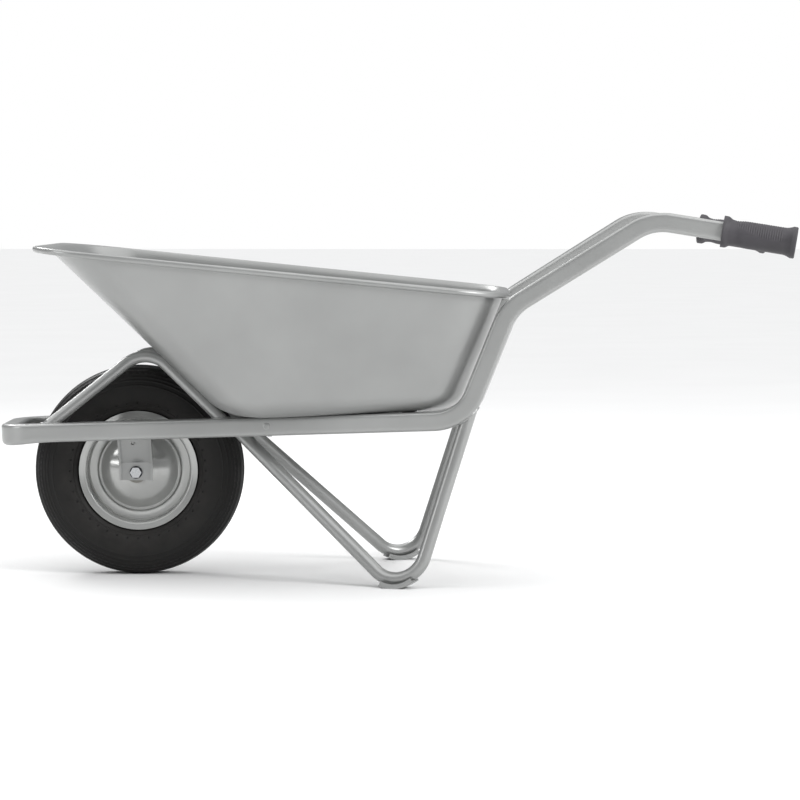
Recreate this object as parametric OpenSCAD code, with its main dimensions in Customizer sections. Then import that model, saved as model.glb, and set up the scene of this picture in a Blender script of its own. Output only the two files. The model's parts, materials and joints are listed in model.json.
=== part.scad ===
// Single-wheel barrow: bent square-tube frame, pressed tray, two V legs, pneumatic wheel.
// +X points to the handles, +Z up. The origin is on the ground, midway along and across.

/* [Frame tube] */
// Side of the square frame tube
tube_w = 35; // [28:1:42]
// Outer corner radius of the frame tube
tube_corner = 6; // [3:0.5:8]
// Wall of the frame tube
tube_wall = 2; // [1.5:0.5:3]
// Distance from the wheel axle forward to the centre of the front cross tube
nose_reach = 238.5; // [225:1:290]
// Height of the front cross tube's centre above the ground
nose_height = 274.4; // [255:0.2:300]
// Half the distance between the two rails at the front cross tube
nose_half = 105.2; // [95:0.2:130]
// Bend radius at the two front corners, to the tube's centre line
nose_bend = 45; // [38:1:60]
// Rise of the rails towards the handles, in degrees
rail_slope = 2.2; // [0:0.1:4]
// Angle at which each rail opens outwards, in degrees
splay = 6.73; // [4:0.1:9]
// Length of a rail, corner to corner
rail_run = 866; // [780:1:960]
// Length of an upright, corner to corner
upright_run = 224; // [190:1:270]
// Length of a handle arm, corner to corner
arm_run = 308; // [250:1:380]
// Length of the straight end that carries the grip
grip_run = 262; // [220:1:320]
// Angle of the upright to the rail, in degrees
upright_angle = 66; // [58:0.5:74]
// Angle of the handle arm to the rail, in degrees
arm_angle = 29.7; // [22:0.1:38]
// Droop of the straight end below the rail's direction, in degrees
grip_droop = 11.2; // [4:0.1:14]
// Bend radius between rail and upright
heel_bend = 86; // [60:1:100]
// Bend radius between upright and arm
shoulder_bend = 100; // [60:1:120]
// Bend radius at the top of the arm
crest_bend = 98; // [60:1:120]

/* [Legs] */
// Diameter of the leg tube
leg_d = 25; // [20:1:30]
// Wall of the leg tube
leg_wall = 2; // [1.5:0.5:3]
// Distance from the front cross tube back to the middle of the foot bend
foot_reach = 734; // [680:1:780]
// Lean of each leg's plane outwards as it goes down, in degrees
leg_lean = 14.8; // [8:0.1:18]
// Angle at which each leg's plane opens outwards, seen from above, in degrees
leg_splay = 16.5; // [10:0.1:20]
// Slope of the front half of the leg, in degrees from level
leg_front_slope = 43.4; // [38:0.2:50]
// Slope of the rear half of the leg, in degrees from level
leg_rear_slope = 72.4; // [66:0.2:78]
// Bend radius of the foot, to the tube's centre line
foot_bend = 56; // [40:0.5:64]
// Inside radius of the curved shoe
shoe_r = 59; // [46:1:72]
// Thickness of the shoe's floor
shoe_t = 3.5; // [3:0.5:6]
// Width of the shoe
shoe_w = 39; // [38:1:48]
// Gap between tube and shoe at the middle of the bend
shoe_gap = 1.2; // [1:0.1:3]
// Height of the shoe's two side lips, over its underside
shoe_lip = 9; // [6:0.5:12]
// Depth of the flat that the floor wears on the shoe
shoe_flat = 0.5; // [0.2:0.1:1.5]

/* [Braces] */
// Diameter of the brace tube
brace_d = 22; // [18:1:26]
// Wall of the brace tube
brace_wall = 1.5; // [1:0.5:2.5]
// Distance from the front cross tube back to the brace's front foot
brace_reach = 82; // [72:1:100]
// Slope of the brace's front half to the rail, in degrees
brace_front_slope = 36.6; // [33:0.2:42]
// Slope of the brace's rear half to the rail, in degrees
brace_rear_slope = 44.5; // [40:0.5:46]
// Lean of each brace inwards over the wheel, in degrees
brace_lean = 24; // [14:1:26]
// Shift of the brace's plane inwards from the rail's centre line, at its height
brace_inset = -3.5; // [-6:0.5:6]
// Bend radius at the top of the brace
brace_bend = 58; // [40:1:70]

/* [Tray] */
// Thickness of the tray's sheet
sheet_t = 1.5; // [1:0.1:2.5]
// Distance from the front cross tube back to the corner line of front wall and floor
tray_front = 418; // [400:1:440]
// Distance from that line back to the corner line of rear wall and floor
tray_floor_run = 429; // [390:1:436]
// Angle of the front wall to the floor, in degrees
front_wall_angle = 46.4; // [42:0.2:52]
// Angle of the rear wall to the floor, in degrees
rear_wall_angle = 65.9; // [60:0.1:80]
// Angle of the side walls to the floor, in degrees
side_wall_angle = 75; // [62:0.5:80]
// Radius between floor and front wall
front_radius = 115; // [60:1:120]
// Radius between floor and rear wall
rear_radius = 50; // [30:1:60]
// Radius between floor and side walls
side_radius = 45; // [30:1:60]
// Half the width across the rim, at the front wall
rim_half_front = 330; // [290:1:345]
// Half the width across the rim, at the rear wall
rim_half_rear = 268; // [250:1:330]
// Height of the rim's top edge above the ground, over the axle
rim_height = 613; // [570:1:640]
// Fall of the rim towards the handles, in degrees from level
rim_fall = 5.7; // [2:0.1:7]
// Height of the rolled rim
rim_h = 11.5; // [9:0.5:16]
// Width of the rolled rim
rim_w = 11; // [8:0.5:16]
// Reach of the flat lip at the front, rolled edge included
lip_front = 40; // [30:1:50]
// Reach of the rear lip
lip_rear = 18; // [11:1:20]
// Corner radius of the tray at the floor
floor_corner = 60; // [40:1:90]
// Corner radius of the tray at the rim
rim_corner = 105; // [70:1:130]

/* [Tray fixings] */
// Side of the square cross bars
bar_w = 30; // [25:1:32]
// Wall of the cross bars
bar_wall = 2; // [1.5:0.5:3]
// Distance from the tray's front corner line to the front cross bar
front_bar_offset = 75; // [70:1:140]
// Distance from the tray's rear corner line to the rear cross bar
rear_bar_offset = 90; // [75:1:140]
// Diameter of the tray bolts
bolt_d = 8; // [6:1:10]
// Clearance of a bolt in its hole, on the diameter
bolt_clear = 0.5; // [0.2:0.1:1]
// Half the distance between the two bolts of a bar
bolt_half = 110; // [70:1:120]

/* [Wheel] */
// Outside diameter of the tyre
tyre_d = 400; // [385:1:405]
// Width of the tyre
tyre_w = 100; // [90:1:105]
// Wall of the tyre
tyre_wall = 7; // [5:0.5:9]
// Diameter of the rim's outer edge
rim_flange_d = 229; // [222:1:236]
// Diameter of the bead seat
rim_seat_d = 203; // [198:1:206]
// Half the width between the rim's flanges
rim_half_w = 36; // [33:0.5:38]
// Thickness of the rim's sheet
rim_t = 2; // [1.5:0.1:2.5]
// Outside diameter of the hub tube
hub_d = 38; // [35:0.5:40]
// Half the length of the hub tube
hub_half = 70; // [66:0.5:72]
// Diameter of the bush's flange
bush_flange_d = 42; // [41:0.5:50]
// Thickness of the bush's flange
bush_flange_t = 3; // [2:0.5:4]
// Length of the bush inside the hub tube
bush_len = 24; // [16:1:30]
// Wall of the hub tube
hub_wall = 3; // [2:0.5:4]

/* [Axle and brackets] */
// Diameter of the axle bolt
axle_d = 12; // [10:1:14]
// Running clearance between axle and bush, on the radius
axle_clear = 0.08; // [0.03:0.01:0.1]
// End play between a bush and its spacer
end_play = 0.5; // [0.3:0.1:1]
// Thickness of the spacer beside each bush
spacer_t = 6; // [3:0.5:8]
// Width of the wheel bracket
bracket_w = 63; // [50:1:66]
// Thickness of the bracket's plate
bracket_t = 4; // [3:0.5:5]
// Depth of the bracket's edge flanges
bracket_flange = 8; // [5:0.5:10]
// Height of the bracket's bend above the axle
bracket_bend_up = 20; // [17:1:26]
// Reach of the bracket below the axle
bracket_down = 15; // [13:1:20]
// Height of the pad that lies against the rail
pad_h = 24; // [18:1:26]
// Diameter of the spare hole in the bracket, close under the rail
spare_hole_d = 9; // [6:1:12]

/* [Grips] */
// Length of the grip
grip_len = 136; // [120:1:160]
// Diameter of the grip's body
grip_d = 51; // [46:0.5:54]
// Diameter of the two end collars
grip_collar_d = 60; // [56:0.5:64]
// Length of each collar
grip_collar_len = 6; // [4:0.5:10]
// Thickness of the grip's closed end
grip_end_t = 4; // [2:0.5:6]
// Clearance between tube and grip, on each side
grip_clear = 0.1; // [0.05:0.05:0.3]

/* [Hidden] */
$fn = 64;

LEFT = -1;
RIGHT = 1;
PAINT = "#a9acab";
RUBBER = "#2b2b2c";
GRIP_BLACK = "#3b3a3d";
ZINC = "#c9ccd0";
NYLON = "#d8d6cc";
BRASS = "#b9974f";
BUTYL = "#1d1d1e";
CAP_BLACK = "#202022";

// Seats between pieces that are welded or bolted together
weld_gap = 0.3;
// How far a bend reaches into the straight it joins, and how much thinner its skin is there
bend_lap = 1;
bend_skin = 0.04;
// Longer than anything that is cut with it
reach_far = 400;

tube_half = tube_w / 2;
leg_r = leg_d / 2;
brace_r = brace_d / 2;
axle_height = tyre_d / 2;

// Plan of a handle side in the rail's own plane: [distance along the rail, height above it]
function along(from, run, angle) = [from[0] + run * cos(angle), from[1] + run * sin(angle)];
heel = [rail_run, 0];
shoulder = along(heel, upright_run, upright_angle);
crest = along(shoulder, arm_run, arm_angle);
tube_end = along(crest, grip_run, -grip_droop);
grip_tip = along(tube_end, grip_end_t, -grip_droop);

// A point of the rail frame seen in the world, before the object is centred on X.
// In the rail frame x runs back from the front cross tube, y to the side, z square to the rails.
function world_x(x, z) = -nose_reach + x * cos(rail_slope) - z * sin(rail_slope);
function world_z(x, z) = nose_height + x * sin(rail_slope) + z * cos(rail_slope);
function rail_x(wx, wz) = (wx + nose_reach) * cos(rail_slope) + (wz - nose_height) * sin(rail_slope);
function rail_z(wx, wz) = (wz - nose_height) * cos(rail_slope) - (wx + nose_reach) * sin(rail_slope);

// The furthest points forward and back set where the middle of the object is
tip_axis_x = cos(splay) * cos(grip_droop) * cos(rail_slope) + sin(grip_droop) * sin(rail_slope);
x_front = -nose_reach
    - (tube_half - tube_corner) * (cos(rail_slope) + sin(rail_slope)) - tube_corner;
x_back = world_x(grip_tip[0] * cos(splay), grip_tip[1])
    + grip_collar_d / 2 * sqrt(1 - pow(tip_axis_x, 2));
x_middle = (x_front + x_back) / 2;

// A plane that opens outwards by yaw and leans inwards as it rises: [along it, up it]
function to_plane(x, z, yaw, lean, inset) = let (up = z / cos(lean))
    [(x - (inset + up * sin(lean)) * sin(yaw)) / cos(yaw), up];
function plane_slope(slope, yaw, lean) =
    atan(tan(slope) * cos(yaw) / (cos(lean) - tan(slope) * sin(lean) * sin(yaw)));
// Where a line from p at slope a meets a line from q at slope b
function meet(p, a, q, b) =
    let (t = ((q[0] - p[0]) * sin(b) - (q[1] - p[1]) * cos(b)) / sin(b - a))
    [p[0] + t * cos(a), p[1] + t * sin(a)];
function span(p, q) = sqrt(pow(q[0] - p[0], 2) + pow(q[1] - p[1], 2));

// Tray, in the rail frame: how far a wall has run out at a height above the floor
function wall_run(h, radius, angle) = h <= radius * (1 - cos(angle))
    ? sqrt(max(0, h * (2 * radius - h)))
    : radius * sin(angle) + (h - radius * (1 - cos(angle))) / tan(angle);
function corner_run(radius, angle) = radius * tan(angle / 2);
floor_front = tray_front + corner_run(front_radius, front_wall_angle);
floor_back = tray_front + tray_floor_run - corner_run(rear_radius, rear_wall_angle);
rim_tilt = rim_fall + rail_slope;
floor_z = tube_half;
// Height of the rim's underside above the floor, at x in the rail frame
function rim_line(x) = rail_z(0, rim_height) - (x - rail_x(0, rim_height)) * tan(rim_tilt)
    - floor_z - rim_h;
// Height at which a wall line meets the rim's underside, going forward or back from the floor
front_slant = front_radius * sin(front_wall_angle)
    - front_radius * (1 - cos(front_wall_angle)) / tan(front_wall_angle);
rear_slant = rear_radius * sin(rear_wall_angle)
    - rear_radius * (1 - cos(rear_wall_angle)) / tan(rear_wall_angle);
rim_front_h = (rim_line(floor_front) + front_slant * tan(rim_tilt))
    / (1 - tan(rim_tilt) / tan(front_wall_angle));
rim_rear_h = (rim_line(floor_back) - rear_slant * tan(rim_tilt))
    / (1 + tan(rim_tilt) / tan(rear_wall_angle));

// Legs, in the rail frame seen from the side
shoe_tilt = (leg_rear_slope - leg_front_slope) / 4;
tube_under = foot_bend * cos(leg_lean) + leg_r;
shoe_drop = tube_under + shoe_gap - shoe_r;
foot_height = shoe_drop * cos(shoe_tilt) + shoe_r + shoe_t - shoe_flat;
foot_xz = [rail_x(foot_reach - nose_reach, foot_height), rail_z(foot_reach - nose_reach, foot_height)];
heel_xy = [rail_run * cos(splay), nose_half + rail_run * sin(splay)];
foot_at = to_plane(foot_xz[0] - heel_xy[0], foot_xz[1], leg_splay, leg_lean, 0);
leg_front_in = plane_slope(-leg_front_slope - rail_slope, leg_splay, leg_lean);
leg_rear_in = plane_slope(leg_rear_slope - rail_slope, leg_splay, leg_lean);
foot_side = heel_xy[1] + foot_at[0] * sin(leg_splay) - foot_at[1] * sin(leg_lean) * cos(leg_splay);

// Braces: the rear half rests under the bend between the tray's floor and its front wall
brace_gap = front_radius + brace_r + weld_gap;
brace_wall_point = [floor_front - brace_gap * sin(brace_rear_slope),
    floor_z + front_radius - brace_gap * cos(brace_rear_slope)];
brace_top_xz = meet([brace_reach, tube_half], brace_front_slope, brace_wall_point, -brace_rear_slope);
brace_top = to_plane(brace_top_xz[0], brace_top_xz[1], splay, brace_lean, brace_inset);
brace_front_in = plane_slope(brace_front_slope, splay, brace_lean);
brace_rear_in = plane_slope(-brace_rear_slope, splay, brace_lean);

// Axle stack, outwards from the middle of the wheel
bush_clear = 0.1;
bush_face = hub_half + bush_flange_t;
spacer_in = bush_face + end_play;
bracket_in = spacer_in + spacer_t;
bracket_out = bracket_in + bracket_t;
washer_t = 2.5;
washer_d = axle_d * 2;
axle_head_h = axle_d * 0.625;
axle_nut_h = axle_d * 0.83;
axle_key = axle_d * 1.58;
axle_tail = 4;
spacer_d = axle_d * 1.8;
spacer_clear = 0.3;
// Thread clearance, on the diameter
thread_clear = 0.1;

bar_front_x = tray_front + front_bar_offset;
bar_rear_x = tray_front + tray_floor_run - rear_bar_offset;
bar_top = tube_half;
bolt_head_d = bolt_d * 2.4;
bolt_head_h = bolt_d * 0.5;
bolt_washer_t = 1.6;
bolt_nut_h = bolt_d * 0.8;
bolt_key = bolt_d * 1.62;
bolt_tail = 3;
bolt_washer_d = bolt_d * 2;
bar_corner = bar_w / 8;

// Frames of reference
module centred() {
    translate([-x_middle, 0, 0]) children();
}

module rail_plane() {
    centred() translate([-nose_reach, 0, nose_height]) rotate([0, -rail_slope, 0]) children();
}

module handed(side) {
    if (side == LEFT) mirror([0, 1, 0]) children();
    else children();
}

// Along the right-hand rail: x along it, y outwards, z square to it
module rail_side() {
    translate([0, nose_half, 0]) rotate([0, 0, splay]) children();
}

module leg_plane() {
    translate([heel_xy[0], heel_xy[1], 0]) rotate([0, 0, leg_splay])
        rotate([leg_lean, 0, 0]) rotate([90, 0, 0]) children();
}

module brace_plane() {
    rail_side() translate([0, -brace_inset, 0])
        rotate([brace_lean, 0, 0]) rotate([90, 0, 0]) children();
}

module wheel_frame() {
    centred() translate([0, 0, axle_height]) rotate([-90, 0, 0]) children();
}

// Sections
module round_square(side, radius) {
    core = side - 2 * radius;
    square([side, core], center = true);
    square([core, side], center = true);
    for (x = [-1, 1], y = [-1, 1]) translate([x, y] * core / 2) circle(r = radius, $fn = 32);
}

module square_tube(side, radius, wall, skin = 0) {
    difference() {
        round_square(side - 2 * skin, radius - skin);
        round_square(side - 2 * wall + 2 * skin, max(0.5, radius - wall) + skin);
    }
}

module frame_section(skin = 0) {
    square_tube(tube_w, tube_corner, tube_wall, skin);
}

module round_tube(d, wall, skin = 0) {
    difference() {
        circle(d = d - 2 * skin);
        circle(d = d - 2 * wall + 2 * skin);
    }
}

// A straight along +x from the origin; the child is its section
module straight(length) {
    rotate([90, 0, 90]) linear_extrude(length) children();
}

// A bend that starts along +x at the origin and turns left in the x-y plane
module bend(angle, radius) {
    lap = bend_lap / radius * 180 / PI;
    translate([0, radius, 0]) rotate([0, 0, -90 - lap])
        rotate_extrude(angle = angle + 2 * lap) translate([radius, 0]) children();
}

module turned(turn) {
    if (turn < 0) mirror([0, 1, 0]) children();
    else children();
}

// Carries a section through the corners of a path in the x-y plane, one radius for each
// inner corner. children(0) is the section of the straights, children(1) that of the bends.
function heading(a, b) = atan2(b[1] - a[1], b[0] - a[0]);
function turn_at(c, i) = i <= 0 || i >= len(c) - 1 ? 0
    : heading(c[i], c[i + 1]) - heading(c[i - 1], c[i]);
function cut_at(c, radii, i) = i <= 0 || i >= len(c) - 1 ? 0
    : radii[i - 1] * tan(abs(turn_at(c, i)) / 2);

module bent_tube(corners, radii) {
    for (i = [0 : len(corners) - 2]) {
        run = span(corners[i], corners[i + 1]) - cut_at(corners, radii, i)
            - cut_at(corners, radii, i + 1);
        if (run > 0.01)
            translate(corners[i]) rotate([0, 0, heading(corners[i], corners[i + 1])])
                translate([cut_at(corners, radii, i), 0, 0]) straight(run) children(0);
    }
    for (i = [1 : len(corners) - 2])
        translate(corners[i]) rotate([0, 0, heading(corners[i - 1], corners[i])])
            translate([-cut_at(corners, radii, i), 0, 0])
            turned(turn_at(corners, i)) bend(abs(turn_at(corners, i)), radii[i - 1]) children(1);
}

// Frame
heel_cut = heel_bend * tan(upright_angle / 2);
rail_straight = rail_run - heel_cut;
handle_corners = [[rail_straight, 0], heel, shoulder, crest, tube_end];
handle_radii = [heel_bend, shoulder_bend, crest_bend];
nose_corners = [
    [rail_straight * cos(splay), -nose_half - rail_straight * sin(splay)],
    [0, -nose_half],
    [0, nose_half],
    [rail_straight * cos(splay), nose_half + rail_straight * sin(splay)]
];

module frame_tube() {
    color(PAINT) rail_plane() {
        bent_tube(nose_corners, [nose_bend, nose_bend]) {
            frame_section();
            frame_section(bend_skin);
        }
        for (side = [LEFT, RIGHT]) handed(side) rail_side() rotate([90, 0, 0])
            bent_tube(handle_corners, handle_radii) {
                frame_section();
                frame_section(bend_skin);
            }
    }
}

// The solid that a rail fills, for coping what is welded to it
module rail_solid() {
    rail_side() translate([nose_bend, 0, 0]) straight(rail_straight - nose_bend)
        round_square(tube_w, tube_corner);
}

module heel_solid() {
    rail_side() rotate([90, 0, 0]) {
        translate([rail_straight, 0, 0]) bend(upright_angle, heel_bend)
            round_square(tube_w, tube_corner);
        translate([rail_straight - leg_d * 2, 0, 0]) straight(leg_d * 2)
            round_square(tube_w, tube_corner);
        translate(heel) rotate([0, 0, upright_angle]) translate([heel_cut, 0, 0])
            straight(upright_run / 3) round_square(tube_w, tube_corner);
    }
}

// Legs: the front half ends under the leg bar, the rear half in the rail's bend
leg_bar_low = bar_top - bar_w;
leg_turn = leg_rear_in - leg_front_in;
leg_middle = (leg_rear_in + leg_front_in) / 2 - 90;
leg_point = along(foot_at, foot_bend / cos(leg_turn / 2), leg_middle);
leg_front_x = foot_xz[0] - (leg_bar_low - foot_xz[1]
    + foot_bend / cos(leg_front_slope + rail_slope)) / tan(leg_front_slope + rail_slope);
// The bar stands back from the wheel: the legs meet its front edge
leg_bar_x = leg_front_x + bar_w / 2;
leg_front_top = leg_bar_low / cos(leg_lean) + leg_r;
leg_rear_top = tube_w * 0.75;
leg_corners = [
    along(leg_point, (leg_front_top - leg_point[1]) / sin(-leg_front_in), 180 + leg_front_in),
    leg_point,
    along(leg_point, (leg_rear_top - leg_point[1]) / sin(leg_rear_in), leg_rear_in)
];

module leg(side) {
    color(PAINT) rail_plane() handed(side) difference() {
        leg_plane() bent_tube(leg_corners, [foot_bend]) {
            round_tube(leg_d, leg_wall);
            round_tube(leg_d, leg_wall, bend_skin);
        }
        translate([0, 0, leg_bar_low]) cube([foot_xz[0], reach_far, tube_w]);
        rail_solid();
        heel_solid();
    }
}

module leg_left() {
    leg(LEFT);
}

module leg_right() {
    leg(RIGHT);
}

// A curved trough under the foot bend that touches the tube at both of its ends
shoe_reach = acos((pow(tube_under, 2) - pow(shoe_drop, 2) - pow(shoe_r, 2))
    / (2 * shoe_drop * shoe_r));
shoe_out = shoe_r + shoe_t;
shoe_lip_t = 2.5;

module shoe_section() {
    translate([shoe_r + weld_gap, -shoe_w / 2]) square([shoe_t - weld_gap, shoe_w]);
    for (y = [-shoe_w / 2, shoe_w / 2 - shoe_lip_t])
        translate([shoe_out - shoe_lip, y]) square([shoe_lip, shoe_lip_t]);
}

module foot_shoe(side) {
    below = shoe_out + shoe_drop;
    color(PAINT) centred() handed(side) difference() {
        translate([foot_reach - nose_reach, foot_side, foot_height]) rotate([0, 0, leg_splay])
            translate([0, foot_bend * sin(leg_lean), 0]) rotate([90, 0, 0])
            rotate([0, 0, shoe_tilt - 90]) translate([shoe_drop, 0, 0])
            rotate([0, 0, -shoe_reach]) rotate_extrude(angle = 2 * shoe_reach) shoe_section();
        translate([foot_reach - nose_reach - below, foot_side - shoe_w * 2, -shoe_w])
            cube([2 * below, shoe_w * 4, shoe_w]);
    }
}

module foot_shoe_left() {
    foot_shoe(LEFT);
}

module foot_shoe_right() {
    foot_shoe(RIGHT);
}

// Braces
brace_foot_up = (tube_half - tube_corner) / cos(brace_lean);
brace_corners = [
    along(brace_top, (brace_top[1] - brace_foot_up) / sin(brace_front_in), 180 + brace_front_in),
    brace_top,
    along(brace_top, (brace_top[1] - brace_foot_up) / sin(-brace_rear_in), brace_rear_in)
];

module front_brace(side) {
    color(PAINT) rail_plane() handed(side) difference() {
        brace_plane() bent_tube(brace_corners, [brace_bend]) {
            round_tube(brace_d, brace_wall);
            round_tube(brace_d, brace_wall, bend_skin);
        }
        rail_solid();
    }
}

module front_brace_left() {
    front_brace(LEFT);
}

module front_brace_right() {
    front_brace(RIGHT);
}

// Wheel brackets: a bent plate from the axle up to a pad that reaches a little under the rail
pad_under = 2;
plate_over = 14;
spare_hole_forward = 3;
pad_low = -tube_half - pad_under;
axle_rail_x = rail_x(0, nose_height) / cos(splay);
rail_inner = nose_half + rail_x(0, nose_height) * tan(splay) - tube_half / cos(splay);
bracket_kink = axle_height + bracket_bend_up;
bracket_top = world_z(rail_x(0, nose_height), pad_low);
bracket_rise = bracket_top - bracket_kink;
bracket_out_run = rail_inner - bracket_in - bracket_t / 2;
bracket_slant = atan(bracket_out_run / bracket_rise);
bracket_reach_up = 1 + plate_over / bracket_rise;

// Outline of the bent plate seen along X, as thick as is asked
module bracket_outline(thick) {
    polygon([
        [bracket_in, axle_height - bracket_down],
        [bracket_in + thick, axle_height - bracket_down],
        [bracket_in + thick, bracket_kink - thick * tan(bracket_slant / 2)],
        [bracket_in + bracket_out_run * bracket_reach_up + thick / cos(bracket_slant),
            bracket_kink + bracket_rise * bracket_reach_up],
        [bracket_in + bracket_out_run * bracket_reach_up,
            bracket_kink + bracket_rise * bracket_reach_up],
        [bracket_in, bracket_kink]
    ]);
}

spare_hole_up = bracket_rise - spare_hole_d / 2;
spare_hole_side = bracket_in + spare_hole_up * tan(bracket_slant);

module wheel_bracket(side) {
    color(PAINT) centred() handed(side) difference() {
        union() {
            translate([-bracket_w / 2, 0, 0]) rotate([90, 0, 90]) linear_extrude(bracket_w)
                bracket_outline(bracket_t);
            for (x = [-bracket_w / 2, bracket_w / 2 - bracket_t])
                translate([x, 0, 0]) rotate([90, 0, 90]) linear_extrude(bracket_t)
                    bracket_outline(bracket_flange);
            translate([-nose_reach, 0, nose_height]) rotate([0, -rail_slope, 0]) rail_side()
                translate([axle_rail_x - bracket_w / 2, -tube_half - bracket_t, pad_low])
                cube([bracket_w, bracket_t, pad_h]);
        }
        translate([-nose_reach, 0, nose_height]) rotate([0, -rail_slope, 0]) {
            rail_solid();
            rail_side() translate([0, -tube_half, -tube_half + tube_corner])
                cube([reach_far, tube_w, tube_w]);
        }
        translate([0, bracket_in - 1, axle_height]) rotate([-90, 0, 0])
            cylinder(d = axle_d + bolt_clear, h = bracket_t + 2);
        translate([-spare_hole_forward, spare_hole_side, bracket_kink + spare_hole_up])
            rotate([-90 - bracket_slant, 0, 0])
            translate([0, 0, -1]) cylinder(d = spare_hole_d, h = bracket_t + 2);
    }
}

module wheel_bracket_left() {
    wheel_bracket(LEFT);
}

module wheel_bracket_right() {
    wheel_bracket(RIGHT);
}

// Cross bars, cut to the opening between the rails
function rail_inner_at(x) = nose_half + x * tan(splay) - tube_half / cos(splay);

module bar_between_rails(x) {
    front = x - bar_w;
    back = x + bar_w;
    intersection() {
        translate([x, -reach_far, bar_top - bar_w / 2]) rotate([0, 0, 90])
            straight(2 * reach_far) square_tube(bar_w, bar_corner, bar_wall);
        translate([0, 0, bar_top - bar_w]) linear_extrude(bar_w) polygon([
            [front, -rail_inner_at(front)], [back, -rail_inner_at(back)],
            [back, rail_inner_at(back)], [front, rail_inner_at(front)]
        ]);
    }
}

module cross_bar(x) {
    color(PAINT) rail_plane() difference() {
        bar_between_rails(x);
        for (y = [-bolt_half, bolt_half]) translate([x, y, bar_top - bar_w - 1])
            cylinder(d = bolt_d + bolt_clear, h = bar_w + 2);
    }
}

module cross_bar_front() {
    cross_bar(bar_front_x);
}

module cross_bar_rear() {
    cross_bar(bar_rear_x);
}

module leg_bar() {
    color(PAINT) rail_plane() bar_between_rails(leg_bar_x);
}

// Tray: closed rings of a rounded outline, from the floor up the outside, round the rim
// and down the inside. f goes from 0 at the floor to 1 at the rim.
wall_rings = 10;
corner_steps = 7;
function mix(a, b, f) = a + (b - a) * f;
function side_out(f, h, sheet) = mix(rim_half_front, rim_half_rear, f) - rim_w
    - wall_run(mix(rim_front_h, rim_rear_h, f), side_radius, side_wall_angle)
    + wall_run(h - sheet, side_radius - sheet, side_wall_angle);
// One ring: front and rear heights above the floor, how much the walls are moved in by the
// sheet, how far the outline grows to the front, side and rear, and the corner radius
function tray_ring(h_front, h_rear, sheet, grow, corner) =
    let (
        run_front = wall_run(h_front - sheet, front_radius - sheet, front_wall_angle),
        x0 = floor_front - run_front - grow[0],
        x1 = floor_back + wall_run(h_rear - sheet, rear_radius - sheet, rear_wall_angle) + grow[2],
        y_mid = side_out(0.5, (h_front + h_rear) / 2, sheet) + grow[1],
        du = corner / ((x1 - x0) / 2),
        dv = corner / y_mid
    )
    [for (q = [0 : 3], k = [0 : corner_steps])
        let (
            a = 90 * (q + k / corner_steps),
            u = (q == 0 || q == 3 ? 1 : -1) * (1 - du) + du * cos(a),
            v = (q < 2 ? 1 : -1) * (1 - dv) + dv * sin(a),
            f = (u + 1) / 2,
            h = mix(h_front, h_rear, f),
            x = mix(x0, x1, f)
        )
        [x, v * (side_out(f, h, sheet) + grow[1]), floor_z + h]];
no_lip = [0, 0, 0];
lips = [lip_front, rim_w, lip_rear];
tray_rings = [
    for (i = [0 : wall_rings]) let (f = pow(i / wall_rings, 2))
        tray_ring(f * rim_front_h, f * rim_rear_h, 0, no_lip, mix(floor_corner, rim_corner, f)),
    rim_ring(0),
    rim_ring(rim_h),
    for (i = [wall_rings : -1 : 0]) let (f = pow(i / wall_rings, 2))
        tray_ring(mix(sheet_t, rim_front_h + rim_h, f), mix(sheet_t, rim_rear_h + rim_h, f),
            sheet_t, no_lip, mix(floor_corner, rim_corner, f) - sheet_t)
];
// The rim's outer edge, at a height over its underside; it keeps to the rim's own slope
function rim_ring(up) =
    [for (p = tray_ring(rim_front_h, rim_rear_h, 0, lips, rim_corner + rim_w))
        [p[0], p[1], floor_z + rim_line(p[0]) + up]];
ring_size = 4 * (corner_steps + 1);
ring_count = len(tray_rings);

module tray_shell() {
    points = [for (ring = tray_rings) for (p = ring) p];
    sides = [for (i = [0 : ring_count - 2], j = [0 : ring_size - 1])
        let (a = i * ring_size + j, b = i * ring_size + (j + 1) % ring_size)
        for (face = [[a, a + ring_size, b], [b, a + ring_size, b + ring_size]]) face];
    floor_under = [for (j = [0 : ring_size - 1]) j];
    floor_over = [for (j = [ring_size - 1 : -1 : 0]) (ring_count - 1) * ring_size + j];
    polyhedron(points = points, faces = concat(sides, [floor_under, floor_over]));
}

module at_tray_bolts() {
    for (x = [bar_front_x, bar_rear_x], y = [-bolt_half, bolt_half])
        translate([x, y, 0]) children();
}

// The hollow under the front lip, between the wall and the rolled edge
lip_edge_x = floor_front - wall_run(rim_front_h, front_radius, front_wall_angle) - lip_front;
lip_hollow = lip_front - rim_w - (rim_h + sheet_t) / tan(front_wall_angle);
lip_hollow_half = rim_half_front - rim_w - rim_corner;

module tray() {
    color(PAINT) rail_plane() difference() {
        tray_shell();
        translate([lip_edge_x + rim_w, -lip_hollow_half, floor_z + rim_line(lip_edge_x + rim_w)])
            rotate([0, rim_tilt, 0]) translate([0, 0, -rim_h])
            cube([lip_hollow, 2 * lip_hollow_half, 2 * rim_h - sheet_t]);
        at_tray_bolts() translate([0, 0, floor_z - 1])
            cylinder(d = bolt_d + bolt_clear, h = sheet_t + 2);
    }
}

bolt_under = bar_top - bar_w - bolt_washer_t;
bolt_low = bolt_under - bolt_nut_h - bolt_tail;

module tray_bolts() {
    color(ZINC) rail_plane() at_tray_bolts() {
        translate([0, 0, floor_z + sheet_t])
            cylinder(d1 = bolt_head_d, d2 = bolt_head_d / 2, h = bolt_head_h);
        translate([0, 0, bolt_low])
            cylinder(d = bolt_d, h = floor_z + sheet_t + bolt_head_h / 2 - bolt_low);
    }
}

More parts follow.
